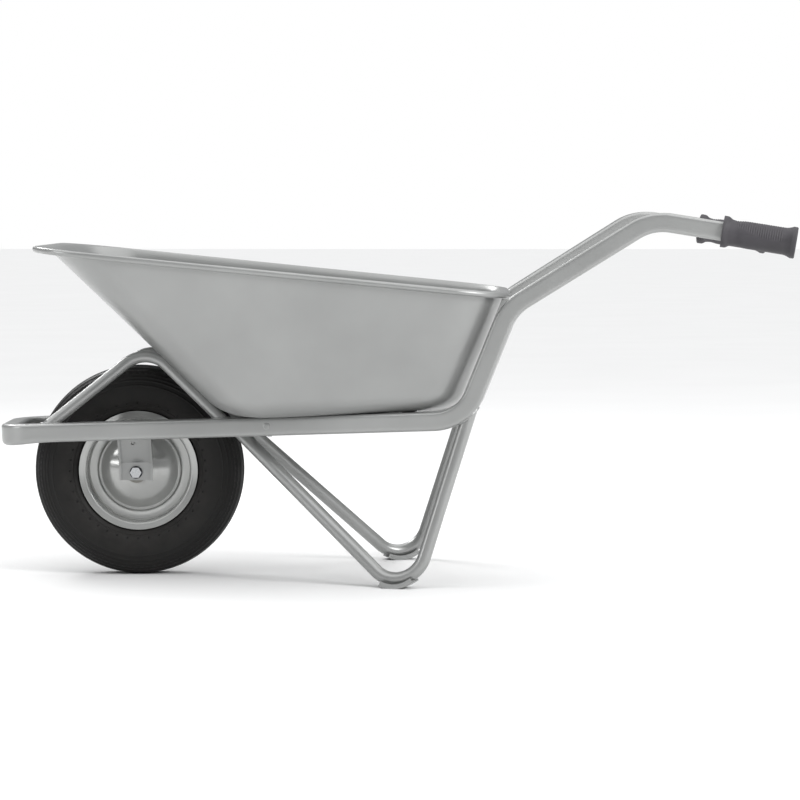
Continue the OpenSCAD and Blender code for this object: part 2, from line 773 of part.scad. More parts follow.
module tray_washers() {
    color(ZINC) rail_plane() at_tray_bolts() translate([0, 0, bolt_under]) difference() {
        cylinder(d = bolt_washer_d, h = bolt_washer_t);
        translate([0, 0, -1]) cylinder(d = bolt_d + bolt_clear, h = bolt_washer_t + 2);
    }
}

module tray_nuts() {
    color(ZINC) rail_plane() at_tray_bolts() translate([0, 0, bolt_under - bolt_nut_h]) difference() {
        cylinder(d = bolt_key / cos(30), h = bolt_nut_h, $fn = 6);
        translate([0, 0, -1]) cylinder(d = bolt_d + thread_clear, h = bolt_nut_h + 2);
    }
}

// Grips
module grip(side) {
    socket = grip_len - grip_end_t;
    color(GRIP_BLACK) rail_plane() handed(side) rail_side()
        translate([tube_end[0], 0, tube_end[1]]) rotate([0, grip_droop, 0])
        translate([-socket, 0, 0]) rotate([0, 90, 0]) difference() {
            union() {
                cylinder(d = grip_d, h = grip_len);
                cylinder(d = grip_collar_d, h = grip_collar_len);
                translate([0, 0, grip_len - grip_collar_len])
                    cylinder(d = grip_collar_d, h = grip_collar_len);
            }
            translate([0, 0, -1]) linear_extrude(socket + 1)
                round_square(tube_w + 2 * grip_clear, tube_corner + grip_clear);
        }
}

module grip_left() {
    grip(LEFT);
}

module grip_right() {
    grip(RIGHT);
}

// Wheel, about its own axle: z runs from left to right
module stroke(points, thick) {
    for (i = [0 : len(points) - 2])
        translate(points[i]) rotate([0, 0, heading(points[i], points[i + 1])])
            translate([0, -thick / 2]) square([span(points[i], points[i + 1]), thick]);
    for (p = points) translate(p) circle(d = thick, $fn = 32);
}

seat_r = rim_seat_d / 2 - rim_t / 2;
// Size of the slant between the bead seat and the flange
rim_fillet = 3;
// Flange, bead seat, well, step and domed centre of one pressed half, as [radius, side]
rim_section = [
    [rim_flange_d / 2 - rim_t / 2, rim_half_w + 2],
    [seat_r + 9, rim_half_w + 1],
    [seat_r + rim_fillet, rim_half_w - 0.5],
    [seat_r, rim_half_w - 0.5 - rim_fillet],
    [seat_r - 1, 7],
    [seat_r - 3.5, rim_t / 2 + 1],
    [seat_r - 7, rim_t / 2],
    [seat_r - 19, rim_t / 2],
    [seat_r - 23, rim_t / 2 + 4],
    [seat_r - 28, rim_t / 2 + 4.5],
    [seat_r - 45, 17],
    [seat_r - 62, 26],
    [seat_r - 75, 31],
    [hub_d / 2 + weld_gap + rim_t / 2, 34]
];
valve_angle = 23;
valve_z = 16;
valve_d = 10;
valve_hole_d = 11.5;
valve_hole_len = 16;
valve_low = seat_r - 16;
neck_d = 6;
neck_len = 12;
neck_low = seat_r - 26;
cap_d = 9.5;
cap_len = 12;
cap_clear = 0.2;
cap_top_t = 2.8;
cap_low = seat_r - 29;
inner_tube_gap = 1;
inner_tube_wall = 2;
section_r = (tyre_d / 2 + rim_seat_d / 2) / 2;
section_half_h = (tyre_d / 2 - rim_seat_d / 2) / 2;
tube_half_h = section_half_h - tyre_wall - inner_tube_gap;
tube_half_w = tyre_w / 2 - tyre_wall - inner_tube_gap;
bead_h = 10;
bead_t = 9;
flange_gap = 1;
valve_root = section_r - tube_half_h * pow(1 - pow((valve_z - valve_d / 2) / tube_half_w, 2.5), 0.4)
    - weld_gap - 0.3;

module at_valve() {
    rotate([0, 0, -valve_angle]) translate([0, 0, valve_z]) rotate([0, 90, 0]) children();
}

module rim_half_shape() {
    rotate_extrude($fn = 96) stroke(rim_section, rim_t);
}

module rim_left() {
    color(PAINT) wheel_frame() mirror([0, 0, 1]) rim_half_shape();
}

module rim_right() {
    color(PAINT) wheel_frame() difference() {
        rim_half_shape();
        at_valve() translate([0, 0, seat_r - valve_hole_len / 2])
            cylinder(d = valve_hole_d, h = valve_hole_len);
    }
}

module hub_tube() {
    color(PAINT) wheel_frame() difference() {
        translate([0, 0, -hub_half]) cylinder(d = hub_d, h = 2 * hub_half);
        translate([0, 0, -hub_half - 1]) cylinder(d = hub_d - 2 * hub_wall, h = 2 * hub_half + 2);
    }
}

module bush(side) {
    color(NYLON) wheel_frame() mirror([0, 0, side == LEFT ? 1 : 0]) difference() {
        union() {
            translate([0, 0, hub_half - bush_len])
                cylinder(d = hub_d - 2 * hub_wall - bush_clear, h = bush_len + bush_flange_t / 2);
            translate([0, 0, hub_half]) cylinder(d = bush_flange_d, h = bush_flange_t);
        }
        translate([0, 0, hub_half - bush_len - 1])
            cylinder(d = axle_d + 2 * axle_clear, h = bush_len + bush_flange_t + 2);
    }
}

module bush_left() {
    bush(LEFT);
}

module bush_right() {
    bush(RIGHT);
}

// A rounded section: |x / half_h| ^ 2.5 + |y / half_w| ^ 2.5 = 1
function swell(s) = sign(s) * pow(abs(s), 0.8);
module tyre_section(half_h, half_w, steps = 40) {
    polygon([for (i = [0 : steps - 1]) let (a = 360 * i / steps)
        [section_r + half_h * swell(cos(a)), half_w * swell(sin(a))]]);
}

module tyre() {
    bead_out = rim_half_w - rim_t / 2 - rim_fillet - weld_gap;
    color(RUBBER) wheel_frame() rotate_extrude($fn = 128) difference() {
        union() {
            tyre_section(section_half_h, tyre_w / 2);
            for (z = [-bead_out, bead_out - bead_t])
                translate([rim_seat_d / 2 + weld_gap, z]) square([bead_h, bead_t]);
        }
        tyre_section(section_half_h - tyre_wall, tyre_w / 2 - tyre_wall);
        translate([0, -bead_out + bead_t])
            square([section_r - section_half_h / 2, 2 * (bead_out - bead_t)]);
        translate([0, -tyre_w]) square([rim_seat_d / 2 + weld_gap, 2 * tyre_w]);
        for (z = [-tyre_w - bead_out, bead_out])
            translate([0, z]) square([rim_flange_d / 2 + flange_gap, tyre_w]);
    }
}

module inner_tube() {
    color(BUTYL) wheel_frame() rotate_extrude($fn = 96) difference() {
        tyre_section(tube_half_h, tube_half_w);
        tyre_section(tube_half_h - inner_tube_wall, tube_half_w - inner_tube_wall);
    }
}

module valve_stem() {
    color(BRASS) wheel_frame() at_valve() {
        translate([0, 0, valve_low]) cylinder(d = valve_d, h = valve_root - valve_low);
        translate([0, 0, neck_low]) cylinder(d = neck_d, h = neck_len);
    }
}

module valve_cap() {
    color(CAP_BLACK) wheel_frame() at_valve() translate([0, 0, cap_low]) difference() {
        cylinder(d = cap_d, h = cap_len);
        translate([0, 0, cap_top_t]) cylinder(d = neck_d + cap_clear, h = cap_len);
    }
}

// Axle
module axle_bolt() {
    tip = bracket_out + washer_t + axle_nut_h + axle_tail;
    head = bracket_out + washer_t;
    color(ZINC) wheel_frame() {
        translate([0, 0, -head]) cylinder(d = axle_d, h = head + tip);
        translate([0, 0, -head - axle_head_h])
            cylinder(d = axle_key / cos(30), h = axle_head_h, $fn = 6);
    }
}

module axle_nut() {
    color(ZINC) wheel_frame() translate([0, 0, bracket_out + washer_t]) difference() {
        cylinder(d = axle_key / cos(30), h = axle_nut_h, $fn = 6);
        translate([0, 0, -1]) cylinder(d = axle_d + thread_clear, h = axle_nut_h + 2);
    }
}

module axle_ring(inner, length, outer_d) {
    for (side = [0, 1]) mirror([0, 0, side]) translate([0, 0, inner]) difference() {
        cylinder(d = outer_d, h = length);
        translate([0, 0, -1]) cylinder(d = axle_d + spacer_clear, h = length + 2);
    }
}

module axle_washers() {
    color(ZINC) wheel_frame() axle_ring(bracket_out, washer_t, washer_d);
}

module axle_spacers() {
    color(ZINC) wheel_frame() axle_ring(spacer_in, spacer_t, spacer_d);
}

frame_tube();
leg_left();
leg_right();
foot_shoe_left();
foot_shoe_right();
front_brace_left();
front_brace_right();
wheel_bracket_left();
wheel_bracket_right();
cross_bar_front();
cross_bar_rear();
leg_bar();
tray();
tray_bolts();
tray_washers();
tray_nuts();
grip_left();
grip_right();
axle_bolt();
axle_nut();
axle_washers();
axle_spacers();
bush_left();
bush_right();
hub_tube();
rim_left();
rim_right();
tyre();
inner_tube();
valve_stem();
valve_cap();
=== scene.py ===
import json
import math

import bpy
import numpy as np
from bpy.props import FloatProperty, FloatVectorProperty, PointerProperty
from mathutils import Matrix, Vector


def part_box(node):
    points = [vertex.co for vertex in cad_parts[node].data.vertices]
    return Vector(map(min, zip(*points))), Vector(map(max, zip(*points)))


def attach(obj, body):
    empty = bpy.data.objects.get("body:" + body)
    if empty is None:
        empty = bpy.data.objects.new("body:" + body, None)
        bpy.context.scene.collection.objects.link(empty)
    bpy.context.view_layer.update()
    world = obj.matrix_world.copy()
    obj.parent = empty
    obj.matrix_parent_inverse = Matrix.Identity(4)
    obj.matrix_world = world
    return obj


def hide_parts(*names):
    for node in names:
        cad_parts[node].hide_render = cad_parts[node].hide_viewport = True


bl_info = {
    "name": "Single-wheel barrow",
    "version": (1, 0, 0),
    "blender": (4, 5, 0),
    "location": "3D View > Sidebar > Barrow",
    "description": "Builds the barrow's surfaces, materials and stage round its packed frame",
    "category": "Object",
}

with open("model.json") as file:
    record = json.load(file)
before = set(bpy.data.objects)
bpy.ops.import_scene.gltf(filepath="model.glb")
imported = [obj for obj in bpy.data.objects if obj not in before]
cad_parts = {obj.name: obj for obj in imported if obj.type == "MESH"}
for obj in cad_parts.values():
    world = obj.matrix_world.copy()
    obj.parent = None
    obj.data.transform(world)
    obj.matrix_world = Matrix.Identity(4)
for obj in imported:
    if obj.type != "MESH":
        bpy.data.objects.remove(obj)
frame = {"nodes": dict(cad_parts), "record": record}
HANDS = (("left", -1), ("right", 1))
RIPPLE, RIPPLE_RUN = 0.13, 0.0024            # a weld's ripples: share of its radius, and run of one
BEAD_STEPS, BEAD_SIDES = 72, 10
RUBBER_IOR, PLASTIC_IOR = 1.52, 1.49
TYRE_WALL, BEAD_GAP = 0.007, 0.0033          # thickness of the side wall, bead's clearance inside the flange
SENSOR, FAR_CLIP = 36, 100                   # camera's sensor in mm, and how far it sees in metres
CROWN_DROP = 0.0035                          # the walls end this far under the crown of the rim
RIB_PLACES = ((0.124, 0.0007), (0.163, 0.001), (0.1725, 0.0009), (0.1785, 0.0009), (0.1845, 0.0009),
              (0.1905, 0.0009))              # raised lines of the side wall: radius, half width
GROOVE_PLACES, GROOVE_HALF = (0.012, -0.012, 0.031, -0.031), 0.0022
SHOULDER, NOTCHES = 0.1945, 100              # radius where side wall becomes tread, notches round it


# ---------------------------------------------------------------- settings
def mm(name, text, value):
    return FloatProperty(name=name, description=text, default=value / 1000, unit="LENGTH", precision=5)


def deg(name, text, value):
    return FloatProperty(name=name, description=text, default=math.radians(value), unit="ROTATION")


def hue(name, text, value):
    return FloatVectorProperty(name=name, description=text, default=linear(value), size=3,
                               subtype="COLOR", min=0, max=1)


def linear(code):
    """A hex colour as linear values: c / 12.92 up to 0.04045, else ((c + 0.055) / 1.055) ** 2.4."""
    parts = [int(code[i:i + 2], 16) / 255 for i in (1, 3, 5)]
    return [c / 12.92 if c <= 0.04045 else ((c + 0.055) / 1.055) ** 2.4 for c in parts]


class BarrowFrame(bpy.types.PropertyGroup):
    """The bent square tube and the braces welded to it"""
    tube_w: mm("Tube side", "Side of the square frame tube", 35)
    corner: mm("Tube corner", "Outer corner radius of the square tube", 6)
    nose_reach: mm("Nose reach", "From the wheel axle forward to the front cross tube", 238.5)
    nose_height: mm("Nose height", "Height of the front cross tube's centre", 274.4)
    nose_half: mm("Nose half width", "Half the distance between the rails at the front", 105.2)
    nose_bend: mm("Nose bend", "Radius of the two front bends", 45)
    nose_swell: mm("Nose swell", "How far the lower wall bulges at the front bends", 5.5)
    slope: deg("Rail slope", "Rise of the rails towards the handles", 2.2)
    splay: deg("Splay", "Angle at which each rail opens outwards", 6.73)
    rail_run: mm("Rail run", "Length of a rail, corner to corner", 866)
    upright_run: mm("Upright run", "Length of an upright, corner to corner", 224)
    arm_run: mm("Arm run", "Length of a handle arm, corner to corner", 308)
    grip_run: mm("Grip run", "Length of the straight end in the grip", 262)
    upright: deg("Upright angle", "Angle of the upright to the rail", 66)
    arm: deg("Arm angle", "Angle of the arm to the rail", 29.7)
    droop: deg("Grip droop", "Droop of the straight end below the rail's direction", 11.2)
    heel_bend: mm("Heel bend", "Radius between rail and upright", 86)
    shoulder_bend: mm("Shoulder bend", "Radius between upright and arm", 100)
    crest_bend: mm("Crest bend", "Radius at the top of the arm", 98)
    brace_d: mm("Brace tube", "Diameter of the brace tube", 22)
    brace_reach: mm("Brace reach", "From the front cross tube back to the brace's front foot", 82)
    brace_front: deg("Brace front slope", "Slope of the front half to the rail", 36.6)
    brace_rear: deg("Brace rear slope", "Slope of the rear half to the rail", 44.5)
    brace_lean: deg("Brace lean", "Lean of the brace inwards", 24)
    brace_inset: mm("Brace inset", "Shift of the brace's plane inwards", -3.5)
    brace_bend: mm("Brace bend", "Radius at the top of the brace", 58)
    bead: mm("Weld bead", "Half the width of a weld bead", 2.3)
    plug_x: mm("Plug weld", "From the front cross tube back to the front bar's plug weld", 493)
    plug_z: mm("Plug weld height", "Height of the plug weld over the rail's middle", 1)


class BarrowLegs(bpy.types.PropertyGroup):
    """The two bent legs"""
    tube_d: mm("Leg tube", "Diameter of the leg tube", 25)
    reach: mm("Foot reach", "From the front cross tube back to the foot bend", 734)
    lean: deg("Lean", "Lean of the leg's plane outwards as it goes down", 14.8)
    splay: deg("Leg splay", "Angle at which the leg's plane opens outwards", 16.5)
    front: deg("Front slope", "Slope of the front half", 43.4)
    rear: deg("Rear slope", "Slope of the rear half", 72.4)
    bend: mm("Foot bend", "Radius of the foot bend", 56)
    foot_height: mm("Foot height", "Height of the foot bend's centre over the ground", 70.77)
    bar_w: mm("Bar side", "Side of the bar that the front halves end under", 30)


class BarrowTray(bpy.types.PropertyGroup):
    """The pressed tray"""
    sheet: mm("Sheet", "Thickness of the tray's sheet", 1.5)
    front: mm("Front line", "From the front cross tube to the corner of front wall and floor", 418)
    floor_run: mm("Floor run", "From that line to the corner of rear wall and floor", 429)
    front_angle: deg("Front wall", "Angle of the front wall to the floor", 46.4)
    rear_angle: deg("Rear wall", "Angle of the rear wall to the floor", 65.9)
    side_angle: deg("Side walls", "Angle of the side walls to the floor", 75)
    front_radius: mm("Front bend", "Radius between floor and front wall", 115)
    rear_radius: mm("Rear bend", "Radius between floor and rear wall", 50)
    side_radius: mm("Side bend", "Radius between floor and side walls", 45)
    half_front: mm("Front half width", "Half the width across the rim at the front", 330)
    half_rear: mm("Rear half width", "Half the width across the rim at the rear", 268)
    rim_height: mm("Rim height", "Height of the rim over the axle", 613)
    rim_fall: deg("Rim fall", "Fall of the rim towards the handles", 5.7)
    rim_h: mm("Roll height", "Height of the rolled rim", 11.5)
    rim_w: mm("Roll width", "Width of the rolled rim", 11)
    lip_front: mm("Front lip", "Reach of the flat lip at the front", 40)
    lip_rear: mm("Rear lip", "Reach of the rear lip", 18)
    floor_corner: mm("Floor corner", "Corner radius at the floor", 60)
    rim_corner: mm("Rim corner", "Corner radius at the rim", 105)


class BarrowWheel(bpy.types.PropertyGroup):
    """Tyre and rim"""
    tyre_d: mm("Tyre", "Outside diameter of the tyre", 400)
    tyre_w: mm("Tyre width", "Width of the tyre", 100)
    flange_d: mm("Flange", "Diameter of the rim's edge", 229)
    seat_d: mm("Seat", "Diameter of the bead seat", 203)
    rim_half: mm("Rim half width", "Half the width between the flanges", 36)
    rim_t: mm("Rim sheet", "Thickness of the rim's sheet", 2)
    hub_d: mm("Hub", "Outside diameter of the hub tube", 38)
    groove: mm("Groove", "Depth of the grooves round the tread", 4.5)
    rib: mm("Shoulder rib", "Height of the fine ribs on the shoulder", 0.9)
    notch: mm("Edge notch", "Depth of the notches across the tread's edge", 1.6)


class BarrowGrips(bpy.types.PropertyGroup):
    """The two rubber grips"""
    length: mm("Length", "Length of the grip", 136)
    body_d: mm("Body", "Diameter of the grip's body", 51)
    collar_d: mm("Collar", "Diameter of its two collars", 60)
    end_t: mm("End", "Thickness of its closed end", 4)
    rib_pitch: mm("Rib pitch", "Distance between the fine ribs", 4.4)
    rib_h: mm("Rib height", "Height of the fine ribs", 0.9)


class BarrowColours(bpy.types.PropertyGroup):
    """Colours of the finishes"""
    paint: hue("Paint", "Grey enamel of frame, legs and wheel", "#9A9B9A")
    rim: hue("Rim", "Grey enamel of the rims", "#B2B3B1")
    tray: hue("Tray", "Grey enamel of the tray", "#969796")
    tyre: hue("Tyre", "Black of the tyre", "#100F0E")
    grip: hue("Grip", "Dark grey of the grips", "#353337")
    zinc: hue("Zinc", "Zinc plate of the fasteners", "#B9BBBD")
    floor: hue("Floor", "Pale floor", "#E6E6E6")


class BarrowStage(bpy.types.PropertyGroup):
    """Camera, floor and lights"""
    eye_x: mm("Camera X", "Camera place along X", 90.3)
    eye_y: mm("Camera Y", "Camera place along Y", -6300)
    eye_z: mm("Camera height", "Camera height over the floor", 719)
    turn: FloatProperty(name="Turn", description="Sideways part of the viewing direction", default=-0.01245)
    tip: FloatProperty(name="Tip", description="Downward part of the viewing direction", default=-0.06136)
    lens: FloatProperty(name="Lens", description="Focal length on a 36 mm sensor", default=148.4)
    world: FloatProperty(name="World", description="Strength of the even light all round", default=0.3)
    overhead: FloatProperty(name="Overhead", description="Strength of the even light from above", default=2.7)
    floor_reach: mm("Floor reach", "Half the side of the floor", 40000)


def size_of(*groups):
    """The named groups of settings, or the one."""
    found = [getattr(bpy.context.scene, "barrow_" + name) for name in groups]
    return found if len(found) > 1 else found[0]


# ---------------------------------------------------------------- mesh helpers
AXLE = (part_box("tyre")[0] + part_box("tyre")[1]) / 2


def rail_to_world(p):
    """Rail frame to row frame: X = axle - nose_reach + x cos a - z sin a,
    Z = nose_height + x sin a + z cos a."""
    f = size_of("frame")
    p = np.asarray(p, float)
    c, s = math.cos(f.slope), math.sin(f.slope)
    return np.stack([AXLE.x - f.nose_reach + p[..., 0] * c - p[..., 2] * s, p[..., 1],
                     f.nose_height + p[..., 0] * s + p[..., 2] * c], -1)


def world_to_rail(x, z):
    """Height and distance from the front cross tube, turned by the rail's slope; x is from the axle."""
    f = size_of("frame")
    c, s = math.cos(f.slope), math.sin(f.slope)
    return (x + f.nose_reach) * c + (z - f.nose_height) * s, (z - f.nose_height) * c - (x + f.nose_reach) * s


def sheet_mesh(name, co, close_u=False, close_v=False, caps=False, uv=None):
    """A grid co[u, v] as a mesh: quad (u, v), (u+1, v), (u+1, v+1), (u, v+1), joined round where closed,
    with its first and last row filled where capped."""
    n, m = co.shape[:2]
    i = np.arange(n if close_u else n - 1)[:, None]
    j = np.arange(m if close_v else m - 1)[None, :]
    a, b = i * m + j, ((i + 1) % n) * m + j
    c, d = ((i + 1) % n) * m + (j + 1) % m, i * m + (j + 1) % m
    quads = np.stack([a, b, c, d], -1).reshape(-1, 4)
    loops, sizes = [quads.ravel()], [np.full(len(quads), 4)]
    if caps:
        ring = np.arange(m)
        loops += [ring, (n - 1) * m + ring[::-1]]
        sizes += [np.array([m]), np.array([m])]
    loops, sizes = np.concatenate(loops), np.concatenate(sizes)
    mesh = bpy.data.meshes.new(name)
    mesh.vertices.add(n * m)
    mesh.vertices.foreach_set("co", np.ascontiguousarray(co, np.float32).ravel())
    mesh.loops.add(len(loops))
    mesh.loops.foreach_set("vertex_index", loops.astype(np.int32))
    mesh.polygons.add(len(sizes))
    mesh.polygons.foreach_set("loop_start", (np.cumsum(sizes) - sizes).astype(np.int32))
    mesh.polygons.foreach_set("loop_total", sizes.astype(np.int32))
    mesh.polygons.foreach_set("use_smooth", np.ones(len(sizes), bool))
    mesh.update(calc_edges=True)
    mesh.validate()
    if uv is not None:
        layer = mesh.uv_layers.new(name="Piece")
        found = np.zeros(len(mesh.loops), np.int32)
        mesh.loops.foreach_get("vertex_index", found)
        layer.data.foreach_set("uv", uv.reshape(-1, 2)[found].astype(np.float32).ravel())
    obj = bpy.data.objects.new(name, mesh)
    bpy.context.scene.collection.objects.link(obj)
    return obj


def joined(name, objs):
    """Several meshes as one object of that name."""
    with bpy.context.temp_override(active_object=objs[0], selected_editable_objects=objs):
        bpy.ops.object.join()
    objs[0].name = objs[0].data.name = name
    return objs[0]


def finished(obj, body, material, replaces=(), flip_check=True):
    """Turns the faces outwards, gives the piece its material and sets it on its body."""
    if flip_check and volume(obj) < 0:
        obj.data.flip_normals()
    obj.data.materials.clear()
    obj.data.materials.append(material)
    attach(obj, body)
    if replaces:
        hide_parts(*replaces)
    return obj


def moved(obj, change):
    """Puts every vertex where change sends it."""
    co = np.zeros(len(obj.data.vertices) * 3, np.float32)
    obj.data.vertices.foreach_get("co", co)
    obj.data.vertices.foreach_set("co", change(co.reshape(-1, 3)).astype(np.float32).ravel())


def volume(obj):
    """Signed volume: the sum of a . (b x c) / 6 over the triangles."""
    obj.data.calc_loop_triangles()
    tris = np.zeros(len(obj.data.loop_triangles) * 3, np.int32)
    obj.data.loop_triangles.foreach_get("vertices", tris)
    co = np.zeros(len(obj.data.vertices) * 3, np.float32)
    obj.data.vertices.foreach_get("co", co)
    a, b, c = (co.reshape(-1, 3)[tris.reshape(-1, 3)[:, k]].astype(float) for k in range(3))
    return float(np.einsum("ij,ij->i", a, np.cross(b, c)).sum() / 6)


def bent_path(corners, radii, step=0.012, turn=math.radians(3)):
    """Points and headings along straights joined by arcs: an arc of radius r cuts r tan(turn / 2) off each
    side."""
    c = np.asarray(corners, float)
    heads = np.arctan2(np.diff(c[:, 1]), np.diff(c[:, 0]))
    pts, dirs = [c[0]], [heads[0]]
    for k in range(1, len(c)):
        r = radii[k - 1] if k < len(c) - 1 else 0
        bend = heads[k] - heads[k - 1] if k < len(c) - 1 else 0
        cut = r * math.tan(abs(bend) / 2)
        along = np.array([math.cos(heads[k - 1]), math.sin(heads[k - 1])])
        end = c[k] - along * cut
        n = max(1, int(np.ceil(np.linalg.norm(end - pts[-1]) / step)))
        start = pts[-1]
        pts += [start + (end - start) * t for t in np.arange(1, n + 1) / n]
        dirs += [heads[k - 1]] * n
        if bend:
            side = np.array([-along[1], along[0]]) * np.sign(bend)
            centre = end + side * r
            m = max(2, int(np.ceil(abs(bend) / turn)))
            for t in np.arange(1, m + 1) / m:
                a = heads[k - 1] + bend * t
                pts.append(centre - r * np.sign(bend) * np.array([-math.sin(a), math.cos(a)]))
                dirs.append(a)
    return np.array(pts), np.array(dirs)


def swept(name, points, side, up, section, caps=True):
    """Carries a section along a line: P(s, k) = C(s) + a(s, k) A(s) + b(s, k) B(s). Its UV is the length and
    the share round."""
    section = np.broadcast_to(section, (len(points),) + section.shape[-2:])
    co = points[:, None] + section[..., :1] * side[:, None] + section[..., 1:] * up[:, None]
    run = np.concatenate([[0], np.cumsum(np.linalg.norm(np.diff(points, axis=0), axis=1))])
    uv = np.stack(np.broadcast_arrays(run[:, None], np.linspace(0, 1, co.shape[1])[None]), -1)
    return sheet_mesh(name, co, close_v=True, caps=caps, uv=uv)


def circle(radius, n=40):
    a = np.arange(n) * 2 * math.pi / n
    return np.stack([np.cos(a), np.sin(a)], -1) * radius


QUARTERS = np.array([(1, 1), (-1, 1), (-1, -1), (1, -1)])


def rounded(half, radius, steps, flats):
    """Points round a rectangle with elliptical corners, and along its flats: corner q is centred at
    sign (half - radius), and its arc is the quarter turn that starts at q quarter turns."""
    half, radius, out = np.asarray(half, float), np.asarray(radius, float), []
    for q in range(4):
        a = math.pi / 2 * (q + np.linspace(0, 1, steps))
        turn = radius * np.stack([np.cos(a), np.sin(a)], -1)
        arc = QUARTERS[q] * (half - radius) + turn
        first = QUARTERS[(q + 1) % 4] * (half - radius) + turn[-1]
        t = np.linspace(0, 1, flats + 2)[1:-1, None]
        out += [arc, arc[-1] * (1 - t) + first * t]
    return np.concatenate(out)


def mirrored(points):
    return points * np.array([1, -1, 1])


# ---------------------------------------------------------------- lines of the barrow
def tube_line():
    """Centre line of the right half of the frame tube in the rail frame, from the middle of the nose to the
    handle's end, with its outward and upward directions."""
    f = size_of("frame")
    s = f.splay
    half_rail = f.rail_run / 2
    out = np.array([math.cos(s), math.sin(s)])
    corner = np.array([0, f.nose_half])
    plan, heads = bent_path([[0, 0], corner, corner + out * half_rail], [f.nose_bend], 0.006)
    zeros, ones = np.zeros(len(plan)), np.ones(len(plan))
    p1 = np.stack([plan[:, 0], plan[:, 1], zeros], -1)
    a1 = np.stack([-np.sin(heads), np.cos(heads), zeros], -1)
    b1 = np.stack([zeros, zeros, ones], -1)
    rise, tilt = bent_path(handle_corners(half_rail), [f.heel_bend, f.shoulder_bend, f.crest_bend])
    rise, tilt = rise[1:], tilt[1:]
    p2 = in_plane(rise)
    a2 = np.tile([-out[1], out[0], 0], (len(rise), 1))
    b2 = np.stack([-np.sin(tilt) * out[0], -np.sin(tilt) * out[1], np.cos(tilt)], -1)
    return np.concatenate([p1, p2]), np.concatenate([a1, a2]), np.concatenate([b1, b2])


def handle_corners(start):
    f = size_of("frame")
    line = [np.array([start, 0.0]), np.array([f.rail_run, 0.0])]
    for run, angle in ((f.upright_run, f.upright), (f.arm_run, f.arm), (f.grip_run, -f.droop)):
        line.append(line[-1] + run * np.array([math.cos(angle), math.sin(angle)]))
    return line


def in_plane(q):
    """A point of the handle's upright plane, [along the rail, up], in the rail frame."""
    f = size_of("frame")
    q = np.asarray(q, float)
    run, rise = q[..., 0], q[..., 1]
    return np.stack([run * math.cos(f.splay), f.nose_half + run * math.sin(f.splay), rise], -1)


def leaning_plane(origin, yaw, lean):
    """Directions along and up a plane that opens by yaw and leans inwards as it rises, and its normal."""
    along = np.array([math.cos(yaw), math.sin(yaw), 0])
    up = np.array([math.sin(yaw) * math.sin(lean), -math.cos(yaw) * math.sin(lean), math.cos(lean)])
    return np.asarray(origin, float), along, up


def plane_slope(slope, yaw, lean):
    return math.atan(math.tan(slope) * math.cos(yaw)
                     / (math.cos(lean) - math.tan(slope) * math.sin(lean) * math.sin(yaw)))


def meet(p, a, q, b):
    t = ((q[0] - p[0]) * math.sin(b) - (q[1] - p[1]) * math.cos(b)) / math.sin(b - a)
    return np.array([p[0] + t * math.cos(a), p[1] + t * math.sin(a)])


def in_leaning(x, z, plane, yaw, lean):
    """The place in a leaning plane whose side view is x, z."""
    origin, along, up = plane
    v = z / math.cos(lean)
    return np.array([(x - origin[0] - v * up[0]) / along[0], v])


def leg_line():
    """Centre line of the right leg in the rail frame: two straights and an arc in one leaning plane."""
    f, g = size_of("frame", "legs")
    heel = in_plane([f.rail_run, 0])
    plane = leaning_plane(heel, g.splay, g.lean)
    foot = world_to_rail(g.reach - f.nose_reach, g.foot_height)
    at = in_leaning(foot[0], foot[1], plane, g.splay, g.lean)
    a = plane_slope(-g.front - f.slope, g.splay, g.lean)
    b = plane_slope(g.rear - f.slope, g.splay, g.lean)
    mid = (a + b) / 2 - math.pi / 2
    point = at + g.bend / math.cos((b - a) / 2) * np.array([math.cos(mid), math.sin(mid)])
    low = (f.tube_w / 2 - g.bar_w + 0.001) / math.cos(g.lean)
    high = f.tube_w * 0.75
    first = point + (low - point[1]) / math.sin(-a) * np.array([-math.cos(a), -math.sin(a)])
    last = point + (high - point[1]) / math.sin(b) * np.array([math.cos(b), math.sin(b)])
    return plane, bent_path([first, point, last], [g.bend], 0.008, math.radians(2))


def brace_line():
    """Centre line of the right brace in the rail frame."""
    f, t = size_of("frame", "tray")
    floor_front = t.front + t.front_radius * math.tan(t.front_angle / 2)
    gap = t.front_radius + f.brace_d / 2 + 0.0003
    wall = [floor_front - gap * math.sin(f.brace_rear),
            f.tube_w / 2 + t.front_radius - gap * math.cos(f.brace_rear)]
    top = meet([f.brace_reach, f.tube_w / 2], f.brace_front, wall, -f.brace_rear)
    normal = np.array([-math.sin(f.splay), math.cos(f.splay), 0])
    plane = leaning_plane(np.array([0, f.nose_half, 0]) - normal * f.brace_inset, f.splay, f.brace_lean)
    at = in_leaning(top[0], top[1], plane, f.splay, f.brace_lean)
    a = plane_slope(f.brace_front, f.splay, f.brace_lean)
    b = plane_slope(-f.brace_rear, f.splay, f.brace_lean)
    foot = (f.tube_w / 2 - f.corner) / math.cos(f.brace_lean)
    first = at - (at[1] - foot) / math.sin(a) * np.array([math.cos(a), math.sin(a)])
    last = at + (at[1] - foot) / math.sin(-b) * np.array([math.cos(b), math.sin(b)])
    return plane, bent_path([first, at, last], [f.brace_bend], 0.008, math.radians(2.5))


